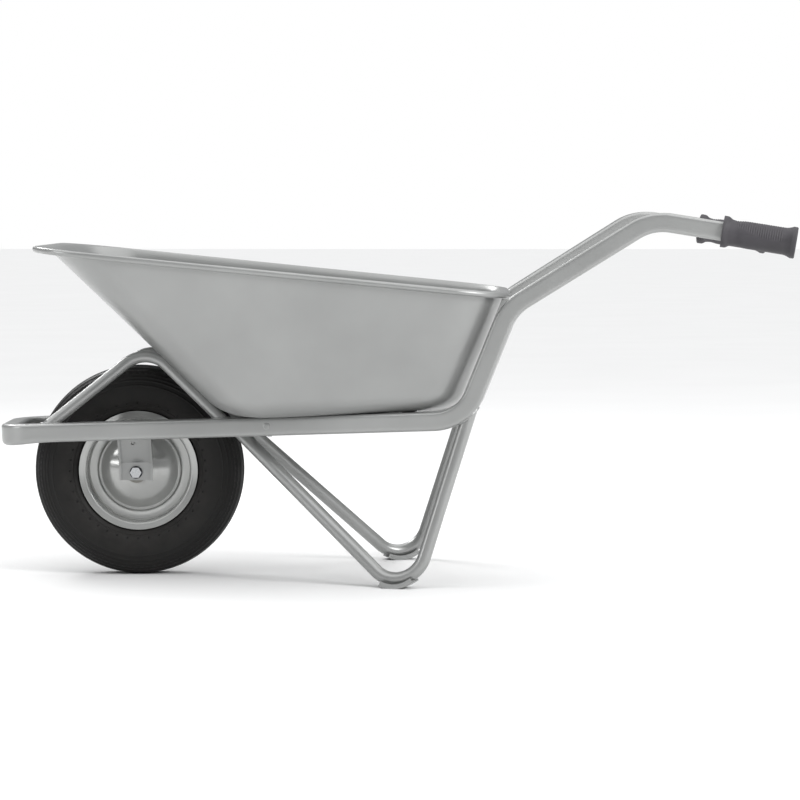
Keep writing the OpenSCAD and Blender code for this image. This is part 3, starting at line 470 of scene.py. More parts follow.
def tube_pair(stem, replaced, plane, line, radius):
    """A round tube along a line that lies in a leaning plane, on each side of the barrow."""
    (origin, along, up), (pts, heads) = plane, line
    centre = origin + pts[:, :1] * along + pts[:, 1:] * up
    side = np.tile(np.cross(along, up), (len(pts), 1))
    lift = -np.sin(heads)[:, None] * along + np.cos(heads)[:, None] * up
    for name, hand in HANDS:
        flip = np.array([1, hand, 1])
        obj = swept(f"{stem}_{name}", rail_to_world(centre * flip), rail_turn(side * flip),
                    rail_turn(lift * flip), circle(radius))
        finished(obj, "frame", finish_of(PAINT), [f"{replaced}_{name}"])


def frame_gap(p):
    """Distance of a point of the rail frame from the skin of the right frame tube: the rounded box distance
    |max(q, 0)| + min(max(q), 0) - corner, with q measured square to the nearest part of the line."""
    f = size_of("frame")
    c, s = math.cos(f.splay), math.sin(f.splay)
    u, side = p[..., 0] * c + (p[..., 1] - f.nose_half) * s, -p[..., 0] * s + (p[..., 1] - f.nose_half) * c
    cut = f.heel_bend * math.tan(f.upright / 2)
    du, dz = u - (f.rail_run - cut), p[..., 2] - f.heel_bend
    rail = p[..., 2]
    arc = f.heel_bend - np.hypot(du, dz)
    upright = -(u - f.rail_run) * math.sin(f.upright) + p[..., 2] * math.cos(f.upright)
    angle = np.arctan2(du, -dz)
    n = np.where(du < 0, rail, np.where(angle < f.upright, arc, upright))
    core = f.tube_w / 2 - f.corner
    q = np.abs(np.stack([n, side], -1)) - core
    return np.linalg.norm(np.maximum(q, 0), axis=-1) + np.minimum(q.max(-1), 0) - f.corner


def weld_ring(name, start, toward, across, radius, bead, gap, reach=0.16):
    """A weld bead where a tube runs into a surface: from each point round the tube, the line along it is
    followed to the first point whose gap is nothing, and a rippled bead is swept round those points."""
    a = np.arange(BEAD_STEPS) * 2 * math.pi / BEAD_STEPS
    rim = start + radius * (np.cos(a)[:, None] * across + np.sin(a)[:, None] * np.cross(toward, across))
    t = np.linspace(0, reach, 400)
    d = gap(rim[:, None] + t[None, :, None] * toward)
    hit = (d < 0).argmax(1)
    ring = rim + t[hit][:, None] * toward
    return bead_ring(name, ring, bead)


def bead_ring(name, ring, bead):
    """A rippled bead round a closed ring of points: radius bead (1 + RIPPLE sin(k s)), one per RIPPLE_RUN."""
    tangent = np.roll(ring, -1, 0) - np.roll(ring, 1, 0)
    tangent /= np.linalg.norm(tangent, axis=1)[:, None]
    ref = np.tile([0.31, 0.2, 0.93], (len(ring), 1))
    side = np.cross(tangent, ref)
    side /= np.linalg.norm(side, axis=1)[:, None]
    up = np.cross(side, tangent)
    run = np.concatenate([[0], np.cumsum(np.linalg.norm(np.diff(ring, axis=0), axis=1))])
    waves = max(1, round(run[-1] / RIPPLE_RUN))
    ripple = 1 + RIPPLE * np.sin(run / max(run[-1], 1e-6) * waves * 2 * math.pi)
    section = circle(bead, BEAD_SIDES)[None] * ripple[:, None, None]
    co = ring[:, None] + section[..., :1] * side[:, None] + section[..., 1:] * up[:, None]
    return sheet_mesh(name, rail_to_world(co), close_u=True, close_v=True)


# ---------------------------------------------------------------- materials
def node(tree, kind, sockets=None, **attributes):
    """Adds a shader node, sets its attributes, and links or sets its sockets."""
    made = tree.nodes.new(kind)
    for name, value in attributes.items():
        setattr(made, name, value)
    for name, value in (sockets or {}).items():
        if isinstance(value, bpy.types.NodeSocket):
            tree.links.new(value, made.inputs[name])
        else:
            made.inputs[name].default_value = value
    return made


def material(name):
    made = bpy.data.materials.new(name)
    made.use_nodes = True
    tree = made.node_tree
    tree.nodes.clear()
    shader = node(tree, "ShaderNodeBsdfPrincipled")
    node(tree, "ShaderNodeOutputMaterial", {"Surface": shader.outputs[0]})
    return made, tree, shader


def coordinates(tree):
    return node(tree, "ShaderNodeTexCoord").outputs["Object"]


def noise(tree, where, size, detail=2, rough=0.5):
    """Noise whose blotches are about size across, in metres."""
    return node(tree, "ShaderNodeTexNoise", {"Vector": where, "Scale": 1 / size, "Detail": detail,
                                             "Roughness": rough}).outputs["Fac"]


def spread(tree, value, low, high, start=0.3, end=0.7):
    return node(tree, "ShaderNodeMapRange", {"Value": value, "From Min": start, "From Max": end,
                                             "To Min": low, "To Max": high}).outputs["Result"]


def tinted(tree, colour, factor):
    """The colour made lighter or darker by a factor."""
    scaled = node(tree, "ShaderNodeVectorMath", {0: (*colour,), "Scale": factor}, operation="SCALE")
    return scaled.outputs["Vector"]


def bump(tree, height, distance, normal=None, strength=1.0):
    sockets = {"Height": height, "Distance": distance, "Strength": strength}
    if normal is not None:
        sockets["Normal"] = normal
    return node(tree, "ShaderNodeBump", sockets).outputs["Normal"]


def wired(tree, shader, shade, rough, normal, **constants):
    """Links a finish's colour, roughness and normal, and sets its constants on the shader."""
    for name, value in (("Base Color", shade), ("Roughness", rough), ("Normal", normal)):
        tree.links.new(value, shader.inputs[name])
    for name, value in constants.items():
        shader.inputs[name.replace("_", " ")].default_value = value


def maths(tree, a, b, operation):
    return node(tree, "ShaderNodeMath", {0: a, 1: b}, operation=operation).outputs[0]


def enamel(name, colour, gloss, wave):
    """Sprayed silver-grey enamel on steel: faint mottling, a slow waviness, and gloss under a thin clear
    skin."""
    made, tree, shader = material(name)
    where = coordinates(tree)
    mottle, dust = noise(tree, where, 0.16, 3), noise(tree, where, 0.05, 2, 0.4)
    wired(tree, shader, tinted(tree, colour, spread(tree, mottle, 0.93, 1.06)),
          spread(tree, dust, gloss - 0.02, gloss + 0.04), bump(tree, noise(tree, where, 0.09, 1), wave),
          Metallic=0.5, Coat_Weight=0.25, Coat_Roughness=0.2)
    return made


def rubber(name, colour, worn=1.35):
    """Moulded rubber: near black, dull, with a fine grain and a greyer bloom in patches."""
    made, tree, shader = material(name)
    where = coordinates(tree)
    bloom = noise(tree, where, 0.05, 4, 0.6)
    wired(tree, shader, tinted(tree, colour, spread(tree, bloom, 0.8, worn)), spread(tree, bloom, 0.55, 0.75),
          bump(tree, noise(tree, where, 0.0011, 2), 0.00012), IOR=RUBBER_IOR)
    return made


def tyre_rubber(name, colour, pit_radius, pits, pit_size):
    """Tyre rubber: dustier and lighter on the side wall than on the shoulder, with a ring of small pits whose
    colour is darkened as painted shade inside them, one where the distance to the nearest of so many places
    on a circle is under the pit's size."""
    made, tree, shader = material(name)
    where = coordinates(tree)
    local = node(tree, "ShaderNodeVectorMath", {0: where, 1: tuple(AXLE)}, operation="SUBTRACT").outputs[0]
    split = node(tree, "ShaderNodeSeparateXYZ", {0: local}).outputs
    angle = maths(tree, split["X"], split["Z"], "ARCTAN2")
    flat = node(tree, "ShaderNodeCombineXYZ", {"X": split["X"], "Z": split["Z"]}).outputs[0]
    far = node(tree, "ShaderNodeVectorMath", {0: flat}, operation="LENGTH").outputs["Value"]
    across = maths(tree, maths(tree, angle, math.pi / pits, "PINGPONG"), far, "MULTIPLY")
    out = maths(tree, far, pit_radius, "SUBTRACT")
    spot = node(tree, "ShaderNodeCombineXYZ", {"X": across, "Y": out}).outputs[0]
    gap = node(tree, "ShaderNodeVectorMath", {0: spot}, operation="LENGTH").outputs["Value"]
    clear = spread(tree, gap, 0, 1, pit_size * 0.5, pit_size)
    bloom = noise(tree, where, 0.045, 5, 0.65)
    dusty = spread(tree, far, 2.4, 0.9, 0.138, 0.168)
    shade = maths(tree, spread(tree, bloom, 0.45, 1.5), dusty, "MULTIPLY")
    # each pit's colour drops to 12 % of the rubber's: painted shade inside the pit
    pit_shaded = maths(tree, shade, spread(tree, clear, 0.12, 1, 0, 1), "MULTIPLY")
    grain = bump(tree, noise(tree, where, 0.0012, 3), 0.00015)
    wired(tree, shader, tinted(tree, colour, pit_shaded), spread(tree, bloom, 0.5, 0.68),
          bump(tree, clear, 0.0012, grain), IOR=RUBBER_IOR, Specular_IOR_Level=0.3)
    return made


def metal(name, colour, rough, scale):
    """Bright plated or turned metal: mirror-like with a cloudy haze and fine scratches."""
    made, tree, shader = material(name)
    where = coordinates(tree)
    cloud = noise(tree, where, scale, 3)
    wired(tree, shader, tinted(tree, colour, spread(tree, cloud, 0.85, 1.08)),
          spread(tree, cloud, rough - 0.08, rough + 0.1), bump(tree, noise(tree, where, 0.0007, 2), 0.00004),
          Metallic=1)
    return made


def plastic(name, colour, rough):
    """Moulded plastic: even colour with a faint mottling and a light grain."""
    made, tree, shader = material(name)
    where = coordinates(tree)
    soft = noise(tree, where, 0.012, 3)
    wired(tree, shader, tinted(tree, colour, spread(tree, soft, 0.93, 1.05)),
          spread(tree, soft, rough - 0.05, rough + 0.07), bump(tree, noise(tree, where, 0.0009, 2), 0.00005),
          IOR=PLASTIC_IOR)
    return made


def finish_of(name):
    return bpy.data.materials[name]


PAINT, TRAY_PAINT, RIM_PAINT, TYRE, GRIP = (
    "Semi-gloss grey enamel", "Semi-gloss grey enamel on sheet", "Gloss grey enamel on rims",
    "Matt black tyre rubber", "Matt dark grey grip PVC")
ZINC, WASHER_SHADOW, NYLON_SHADED, BRASS, TUBE, CAP = (
    "Bright zinc plate", "Dark metal as painted shadow round the bolt", "Off-white nylon greyed as painted shade", "Turned brass", "Matt black butyl rubber",
    "Black moulded plastic")
BY_SLOT = {"frame_paint": PAINT, "tray_paint": TRAY_PAINT, "zinc": ZINC, "tyre": TYRE, "tube_rubber": TUBE,
           "grip_rubber": GRIP, "nylon": NYLON_SHADED, "brass": BRASS, "cap_plastic": CAP}


class BARROW_OT_finishes(bpy.types.Operator):
    """Make every material and give one to each node of the frame"""
    bl_idname = "barrow.finishes"
    bl_label = "Finishes"

    def execute(self, context):
        c = size_of("colours")
        # Grey sprayed paint of tubes and wheel; the gloss shows the lamps as soft streaks along each tube.
        enamel(PAINT, c.paint, 0.32, 0.0004)
        # The same paint on thin sheet, a little duller, with the slow waves of a pressing.
        enamel(TRAY_PAINT, c.tray, 0.36, 0.0006)
        # The wheel's own coat is glossier, so lamps and floor show as clear rings in its pressed steps.
        enamel(RIM_PAINT, c.rim, 0.17, 0.0003)
        # Tyre side walls and tread: dull black, with the ring of small pits above the rim, darkened in colour
        # as painted shade.
        tyre_rubber(TYRE, c.tyre, 0.1295, 40, 0.0024)
        # Soft plastic of the grips: dark purple-grey, duller and greyer in random patches.
        rubber(GRIP, c.grip)
        rubber(TUBE, linear("#161616"))
        # Fasteners: bright, slightly bluish plate.
        metal(ZINC, c.zinc, 0.2, 0.006)
        # Washers of the axle: a dark metal in place of zinc, a painted shadow that rings the bright bolt.
        metal(WASHER_SHADOW, linear("#3C3D40"), 0.4, 0.006)
        metal(BRASS, linear("#C8A560"), 0.25, 0.004)
        # Bushes and valve cap, small and seldom seen; the off-white nylon is greyed as painted shade where it
        # peeks out under the bracket.
        plastic(NYLON_SHADED, linear("#8C8A84"), 0.42)
        plastic(CAP, linear("#1D1D1F"), 0.45)
        slots = {r["node"]: r["material_slot"] for r in frame["record"]["subparts"]}
        for name, obj in frame["nodes"].items():
            obj.data.materials.clear()
            obj.data.materials.append(finish_of(BY_SLOT[slots[name]]))
        # the washers swap their zinc for the dark metal: painted shadow round the bolt's head
        frame["nodes"]["axle_washers"].data.materials[0] = finish_of(WASHER_SHADOW)
        frame["nodes"]["hub_tube"].data.materials[0] = finish_of(RIM_PAINT)
        return {"FINISHED"}


# ---------------------------------------------------------------- pieces
class BARROW_OT_frame(bpy.types.Operator):
    """Sweep the frame tube from handle to handle"""
    bl_idname = "barrow.frame"
    bl_label = "Frame tube"

    def execute(self, context):
        f = size_of("frame")
        points, side, up = tube_line()
        points = np.concatenate([mirrored(points[:0:-1]), points])
        side = np.concatenate([mirrored(side[:0:-1]), side])
        up = np.concatenate([mirrored(up[:0:-1]), up])
        section = np.repeat(rounded(f.tube_w / 2, f.corner, 7, 5)[None], len(points), 0)
        corner = np.array([0.15 * f.nose_bend, f.nose_half - 0.15 * f.nose_bend])
        far = np.hypot(points[:, 0] - corner[0], np.abs(points[:, 1]) - corner[1])
        swell = f.nose_swell * np.exp(-((far / (f.nose_bend * 0.85)) ** 2))
        lower = np.clip(-section[..., 1] / (f.tube_w / 2), 0, 1) ** 2
        outer = 0.6 + 0.4 * np.clip(section[..., 0] / (f.tube_w / 2), -1, 1)
        section[..., 1] -= swell[:, None] * lower * outer
        obj = swept("frame_skin", points, side, up, section)
        moved(obj, rail_to_world)
        finished(obj, "frame", finish_of(PAINT), ["frame_tube"])
        return {"FINISHED"}


class BARROW_OT_legs(bpy.types.Operator):
    """Sweep the two legs"""
    bl_idname = "barrow.legs"
    bl_label = "Legs"

    def execute(self, context):
        g = size_of("legs")
        tube_pair("leg_skin", "leg", *leg_line(), g.tube_d / 2)
        return {"FINISHED"}


def rail_turn(v):
    """A direction of the rail frame turned into the row frame."""
    f = size_of("frame")
    c, s = math.cos(f.slope), math.sin(f.slope)
    return np.stack([v[..., 0] * c - v[..., 2] * s, v[..., 1], v[..., 0] * s + v[..., 2] * c], -1)


class BARROW_OT_braces(bpy.types.Operator):
    """Sweep the two front braces"""
    bl_idname = "barrow.braces"
    bl_label = "Braces"

    def execute(self, context):
        f = size_of("frame")
        tube_pair("brace_skin", "front_brace", *brace_line(), f.brace_d / 2)
        return {"FINISHED"}


def plug_weld(x, z, hand):
    """A plug weld on a rail's outer face: a low rippled mound, h (1 - (r / R) ** 2) ** 0.5 high."""
    f = size_of("frame")
    r, a = np.linspace(1, 0.02, 14)[:, None], (np.arange(36) * math.pi / 18)[None]
    size, high = 0.0068, 0.0014
    rise = high * np.sqrt(np.maximum(0, 1 - r ** 2)) * (1 + 0.15 * np.cos(14 * r + a))
    out = f.tube_w / 2 - 0.0002 + rise
    u, v = x / math.cos(f.splay) + size * r * np.cos(a), z + size * r * np.sin(a) + 0 * out
    p = in_plane(np.stack([u + 0 * out, v], -1))
    p = p + out[..., None] * np.array([-math.sin(f.splay), math.cos(f.splay), 0])
    return sheet_mesh("mound", rail_to_world(p * [1, hand, 1]), close_v=True, caps=True)


class BARROW_OT_welds(bpy.types.Operator):
    """Lay the weld beads of legs and braces"""
    bl_idname = "barrow.welds"
    bl_label = "Welds"

    def execute(self, context):
        f, g = size_of("frame", "legs")
        rings = []
        for (plane, (pts, heads)), radius, ends in ((leg_line(), g.tube_d / 2, ("last",)),
                                                    (brace_line(), f.brace_d / 2, ("first", "last"))):
            origin, along, up = plane
            for end in ends:
                k, sign = (-1, 1) if end == "last" else (0, -1)
                toward = sign * (math.cos(heads[k]) * along + math.sin(heads[k]) * up)
                start = origin + pts[k][0] * along + pts[k][1] * up - toward * 0.13
                rings.append(weld_ring("bead", start, toward, np.cross(along, up), radius, f.bead, frame_gap))
        copies = []
        for ring in rings:
            twin = bpy.data.objects.new("bead", ring.data.copy())
            bpy.context.scene.collection.objects.link(twin)
            moved(twin, mirrored)
            twin.data.flip_normals()
            copies.append(twin)
        plugs = [plug_weld(f.plug_x, f.plug_z, hand) for hand in (-1, 1)]
        plugs[0].data.flip_normals()
        obj = joined("weld_beads", rings + copies + plugs)
        finished(obj, "frame", finish_of(PAINT))
        return {"FINISHED"}


def wall_run(h, radius, angle):
    """How far a wall has run out at height h: a circle of that radius, then a straight at that angle."""
    top = radius * (1 - math.cos(angle))
    arc = np.sqrt(np.maximum(0, h * (2 * radius - h)))
    return np.where(h <= top, arc, radius * math.sin(angle) + (h - top) / math.tan(angle))


class TrayForm:
    """The tray's outer surface in the rail frame, ring by ring."""

    def __init__(self):
        f, t = size_of("frame", "tray")
        self.t, self.floor = t, f.tube_w / 2
        self.front = t.front + t.front_radius * math.tan(t.front_angle / 2)
        self.back = t.front + t.floor_run - t.rear_radius * math.tan(t.rear_angle / 2)
        self.tilt = math.tan(t.rim_fall + f.slope)
        self.anchor = world_to_rail(0, t.rim_height)
        fs = t.front_radius * math.sin(t.front_angle) \
            - t.front_radius * (1 - math.cos(t.front_angle)) / math.tan(t.front_angle)
        rs = t.rear_radius * math.sin(t.rear_angle) \
            - t.rear_radius * (1 - math.cos(t.rear_angle)) / math.tan(t.rear_angle)
        self.h_front = (self.rim(self.front) + fs * self.tilt) / (1 - self.tilt / math.tan(t.front_angle))
        self.h_rear = (self.rim(self.back) - rs * self.tilt) / (1 + self.tilt / math.tan(t.rear_angle))

    def rim(self, x):
        """Height of the rim's underside over the floor."""
        return self.anchor[1] - (x - self.anchor[0]) * self.tilt - self.floor - self.t.rim_h

    def side(self, f, h):
        t = self.t
        edge = t.half_front + (t.half_rear - t.half_front) * f - t.rim_w
        top = self.h_front + (self.h_rear - self.h_front) * f
        return edge - wall_run(top, t.side_radius, t.side_angle) + wall_run(h, t.side_radius, t.side_angle)

    def ring(self, h_front, h_rear, corner, grow=(0, 0, 0), steps=14, flats=14):
        """A rounded rectangle in u, v from -1 to 1, carried out to the walls at its own height."""
        t = self.t
        x0 = self.front - wall_run(h_front, t.front_radius, t.front_angle) - grow[0]
        x1 = self.back + wall_run(h_rear, t.rear_radius, t.rear_angle) + grow[2]
        mid = self.side(0.5, (h_front + h_rear) / 2) + grow[1]
        du, dv = corner / ((x1 - x0) / 2), corner / mid
        uv = rounded(1, (du, dv), steps + 1, flats)
        f = (uv[:, 0] + 1) / 2
        h = h_front + (h_rear - h_front) * f
        return np.stack([x0 + (x1 - x0) * f, uv[:, 1] * (self.side(f, h) + grow[1]), self.floor + h], -1)


class BARROW_OT_tray(bpy.types.Operator):
    """Press the tray with its floor, walls, lips and rolled rim"""
    bl_idname = "barrow.tray"
    bl_label = "Tray"

    def execute(self, context):
        t = size_of("tray")
        form = TrayForm()
        rings = []
        base = form.ring(0, 0, t.floor_corner)
        centre = np.array([(form.front + form.back) / 2, 0, form.floor])
        for k in (0.02, 0.25, 0.5, 0.75, 0.93):
            rings.append(centre + (base - centre) * k)
        top_front, top_rear = form.h_front + t.rim_h, form.h_rear + t.rim_h
        for g in np.linspace(0, 1, 46) ** 1.7:
            level = 1 - CROWN_DROP / top_rear * g
            rings.append(form.ring(g * top_front * level, g * top_rear * level,
                                   t.floor_corner + (t.rim_corner - t.floor_corner) * g))
        crown = form.ring(top_front, top_rear, t.rim_corner)
        edge = form.ring(form.h_front, form.h_rear, t.rim_corner + t.rim_w,
                         (t.lip_front, t.rim_w, t.lip_rear))
        edge[:, 2] = form.floor + form.rim(edge[:, 0]) + t.rim_h
        out = edge - crown
        out[:, 2] = 0
        width = np.linalg.norm(out, axis=1)[:, None]
        out = out / width
        slope = (edge[:, 2:] - crown[:, 2:]) / width
        roll_w, roll_h = t.rim_w / 2 - t.sheet, t.rim_h / 2 - t.sheet
        flat = width - t.rim_w / 2
        up = np.array([0, 0, 1.0])
        for share_out, drop in ((0.04, 0.0013), (0.12, 0.0004), (0.3, 0.0), (0.65, 0.0), (1.0, 0.0)):
            d = flat * share_out
            rings.append(crown + out * d + up * (slope * d - drop - t.sheet))
        for a in np.radians(np.arange(75, -136, -15)):
            d = flat + roll_w * math.cos(a)
            rings.append(crown + out * d + up * (slope * d - t.rim_h / 2 + roll_h * math.sin(a)))
        co = rail_to_world(np.array(rings))
        obj = sheet_mesh("tray_skin", co, close_v=True)
        mesh = obj.data
        normal = np.zeros(len(mesh.polygons) * 3, np.float32)
        mesh.polygons.foreach_get("normal", normal)
        if normal.reshape(-1, 3)[:len(mesh.polygons) // 20, 2].mean() > 0:
            mesh.flip_normals()
        thick = obj.modifiers.new("Sheet", "SOLIDIFY")
        thick.thickness, thick.offset, thick.use_even_offset = t.sheet, -1, False
        finished(obj, "frame", finish_of(TRAY_PAINT), ["tray"], flip_check=False)
        return {"FINISHED"}


def turned_mesh(name, profile, steps, ripple=None):
    """A closed profile [radius, side] turned round the axle: X = r sin a, Z = r cos a, Y = side."""
    a = np.arange(steps) * 2 * math.pi / steps
    r, y = profile[:, 0][None], profile[:, 1][None]
    if ripple is not None:
        r = r + ripple(a[:, None], profile)
    co = np.stack([AXLE.x + r * np.sin(a)[:, None], y + 0 * a[:, None], AXLE.z + r * np.cos(a)[:, None]], -1)
    return sheet_mesh(name, co, close_u=True, close_v=True)


def superellipse(a, mid, half_h, half_w):
    """Rounded section |x / h| ** 2.5 + |y / w| ** 2.5 = 1 round the middle radius, as [radius, side]."""
    c, s = np.cos(a), np.sin(a)
    return np.stack([mid + half_h * np.sign(c) * np.abs(c) ** 0.8,
                     half_w * np.sign(s) * np.abs(s) ** 0.8], -1)


def thinned(line, weight, count):
    """So many points of a fine line, closer together where the weight is larger."""
    share = np.concatenate([[0], np.cumsum((weight[1:] + weight[:-1]) / 2)])
    at = np.interp(np.linspace(0, share[-1], count), share, np.arange(len(line)))
    return np.stack([np.interp(at, np.arange(len(line)), line[:, k]) for k in range(2)], -1)


class BARROW_OT_tyre(bpy.types.Operator):
    """Turn the tyre with its tread grooves and shoulder ribs"""
    bl_idname = "barrow.tyre"
    bl_label = "Tyre"

    def execute(self, context):
        w = size_of("wheel")
        outer, seat = w.tyre_d / 2, w.seat_d / 2
        mid, half_h, half_w = (outer + seat) / 2, (outer - seat) / 2, w.tyre_w / 2
        a = np.linspace(-math.radians(136), math.radians(136), 4000)
        line = superellipse(a, mid, half_h, half_w)
        run = np.gradient(line, axis=0)
        length = np.linalg.norm(run, axis=1)
        inward = np.stack([-run[:, 1], run[:, 0]], -1) / length[:, None]
        r, y = line[:, 0], line[:, 1]
        side = r < SHOULDER
        ribs = sum(np.exp(-(((r - place) / half) ** 4)) for place, half in RIB_PLACES)
        grooves = sum(np.exp(-(((y - place) / GROOVE_HALF) ** 4)) for place in GROOVE_PLACES)
        depth = np.where(side, w.rib * (1 - np.clip(ribs, 0, 1)), w.groove * grooves)
        cut_line = line + inward * depth[:, None]
        bead = w.rim_half - w.rim_t / 2 - BEAD_GAP
        keep = (r > seat + 0.009) & ~((np.abs(y) > bead) & (r < w.flange_d / 2 + 0.001))
        line = thinned(cut_line[keep], (length * (1 + 3 * (ribs + grooves > 0.02)))[keep], 190)
        foot = np.array([[w.flange_d / 2 + 0.001, bead], [seat + 0.006, bead], [seat + 0.001, bead - 0.003],
                         [seat + 0.0005, bead - 0.009]])
        hollow = superellipse(np.linspace(math.radians(128), -math.radians(128), 24), mid, half_h - TYRE_WALL,
                              half_w - TYRE_WALL)
        profile = np.concatenate([foot[::-1] * [1, -1], line, foot, hollow[hollow[:, 0] > seat + 0.01]])

        def notches(angle, profile):
            """Shallow notches across the tread's rounded edge: depth d max(0, cos n a) ** 2."""
            edge = np.exp(-(((np.abs(profile[:, 1]) - 0.039) / 0.005) ** 2)) * (profile[:, 0] > 0.185)
            return -w.notch * np.clip(np.cos(NOTCHES * angle), 0, 1) ** 2 * edge[None]
        obj = turned_mesh("tyre_skin", profile, 400, notches)
        finished(obj, "wheel", finish_of(TYRE), ["tyre"])
        return {"FINISHED"}


def smooth_line(points, n=8):
    """Catmull-Rom points through a line."""
    p = np.asarray(points, float)
    q = np.vstack([2 * p[0] - p[1], p, 2 * p[-1] - p[-2]])
    t = (np.arange(n) / n)[:, None]
    out = []
    for k in range(1, len(q) - 2):
        a, b, c, d = q[k - 1:k + 3]
        out.append(0.5 * (2 * b + (c - a) * t + (2 * a - 5 * b + 4 * c - d) * t ** 2
                          + (3 * b - a - 3 * c + d) * t ** 3))
    return np.concatenate(out + [p[-1:]])


class BARROW_OT_rims(bpy.types.Operator):
    """Turn the two pressed halves of the rim"""
    bl_idname = "barrow.rims"
    bl_label = "Rims"

    def execute(self, context):
        w = size_of("wheel")
        k, seat, edge = 0.001, w.seat_d / 2 - w.rim_t / 2, w.rim_half
        web = w.rim_t / 2 / k
        line = [[w.flange_d / 2 - w.rim_t / 2, edge + 2 * k], [seat + 9 * k, edge + 1 * k],
                [seat + 3 * k, edge - 0.5 * k], [seat, edge - 3.5 * k], [seat - 1 * k, 7 * k],
                [seat - 3.5 * k, (web + 1) * k], [seat - 7 * k, web * k], [seat - 19 * k, web * k],
                [seat - 23 * k, (web + 4) * k], [seat - 28 * k, (web + 4.5) * k], [seat - 45 * k, 17 * k],
                [seat - 62 * k, 26 * k], [seat - 75 * k, 31 * k],
                [w.hub_d / 2 + w.rim_t / 2 + 0.3 * k, 34 * k]]
        line = smooth_line(line)
        tangent = np.gradient(line, axis=0)
        tangent /= np.linalg.norm(tangent, axis=1)[:, None]
        normal = np.stack([-tangent[:, 1], tangent[:, 0]], -1) * (w.rim_t / 2 - 0.00005)
        profile = np.concatenate([line + normal, (line - normal)[::-1]])
        for name, hand in HANDS:
            obj = turned_mesh(f"rim_skin_{name}", profile * [1, hand], 192)
            finished(obj, "wheel", finish_of(RIM_PAINT), [f"rim_{name}"])
        return {"FINISHED"}


class BARROW_OT_grips(bpy.types.Operator):
    """Mould the two grips with collar, finger ribs and flared end"""
    bl_idname = "barrow.grips"
    bl_label = "Grips"

    def execute(self, context):
        f, g = size_of("frame", "grips")
        corners = handle_corners(0.4)
        end, droop = corners[-1], f.droop
        axis = np.array([math.cos(droop), -math.sin(droop)])
        run, around = 340, 128
        s = np.linspace(0, g.length, run)[:, None]
        a = (np.arange(around) * 2 * math.pi / around)[None]
        top = np.sin(a)
        collar, body = g.collar_d / 2 - 0.0004, g.body_d / 2
        wave = 0.0035 * np.cos(2 * a) * np.exp(-((s / 0.02) ** 2))
        front = (collar - body) * np.exp(-(((s + wave) / 0.011) ** 4))
        rear = (collar - body) * np.clip((s - (g.length - 0.02)) / 0.014, 0, 1) ** 1.6
        neck = -0.0018 * np.exp(-(((s - 0.026) / 0.01) ** 2))
        curve = 0.02 + 0.075 * np.clip((0.75 - top) / 1.0, 0, 1) ** 1.2
        field = np.clip((s - curve) / 0.003, 0, 1) * np.clip((g.length - 0.022 - s) / 0.004, 0, 1) \
            * np.clip((top + 0.05) / 0.08, 0, 1)
        teeth = 0.5 + 0.5 * np.cos(2 * math.pi * s / g.rib_pitch)
        r = body - 0.0006 + front + rear + neck + field * g.rib_h * (teeth ** 1.5 - 0.6)
        tube = f.tube_w / 2 + 0.0002
        for name, hand in HANDS:
            ring = np.stack([s + 0 * a, r * np.cos(a), r * np.sin(a)], -1)
            cap = np.array([0.985, 0.94, 0.6, 0.02])[:, None] * r[-1]
            back = np.array([0.0012, 0.0022, 0.0024, 0.0024])[:, None]
            tail = np.stack([g.length - 0.0024 + back + 0 * a, cap * np.cos(a), cap * np.sin(a)], -1)
            ring[..., 0] *= (g.length - 0.0024) / g.length
            wall = np.array([[tube], [tube], [tube + 0.002]])
            mouth = np.stack([0.0 * a + np.array([[0.02], [0.0005], [-0.0]]),
                              wall * square_cos(a), wall * square_sin(a)], -1)
            q = np.concatenate([mouth, ring, tail])
            along = end[0] - (g.length - g.end_t) * axis[0] + q[..., 0] * axis[0] + q[..., 2] * -axis[1]
            rise = end[1] - (g.length - g.end_t) * axis[1] + q[..., 0] * axis[1] + q[..., 2] * axis[0]
            p = in_plane(np.stack([along, rise], -1))
            p += q[..., 1:2] * np.array([-math.sin(f.splay), math.cos(f.splay), 0])
            obj = sheet_mesh(f"grip_skin_{name}", rail_to_world(p * [1, hand, 1]), close_v=True, caps=True)
            finished(obj, "frame", finish_of(GRIP), [f"grip_{name}"])
        return {"FINISHED"}


def square_cos(a):
    """A rounded square as a share of its half side: cos a / (|cos a| ** 8 + |sin a| ** 8) ** (1 / 8)."""
    c, s = np.cos(a), np.sin(a)
    return c / (np.abs(c) ** 8 + np.abs(s) ** 8) ** 0.125


def square_sin(a):
    c, s = np.cos(a), np.sin(a)
    return s / (np.abs(c) ** 8 + np.abs(s) ** 8) ** 0.125


def facing(direction):
    """The turn that points a camera or lamp along a direction."""
    return direction.to_track_quat("-Z", "Y").to_euler()


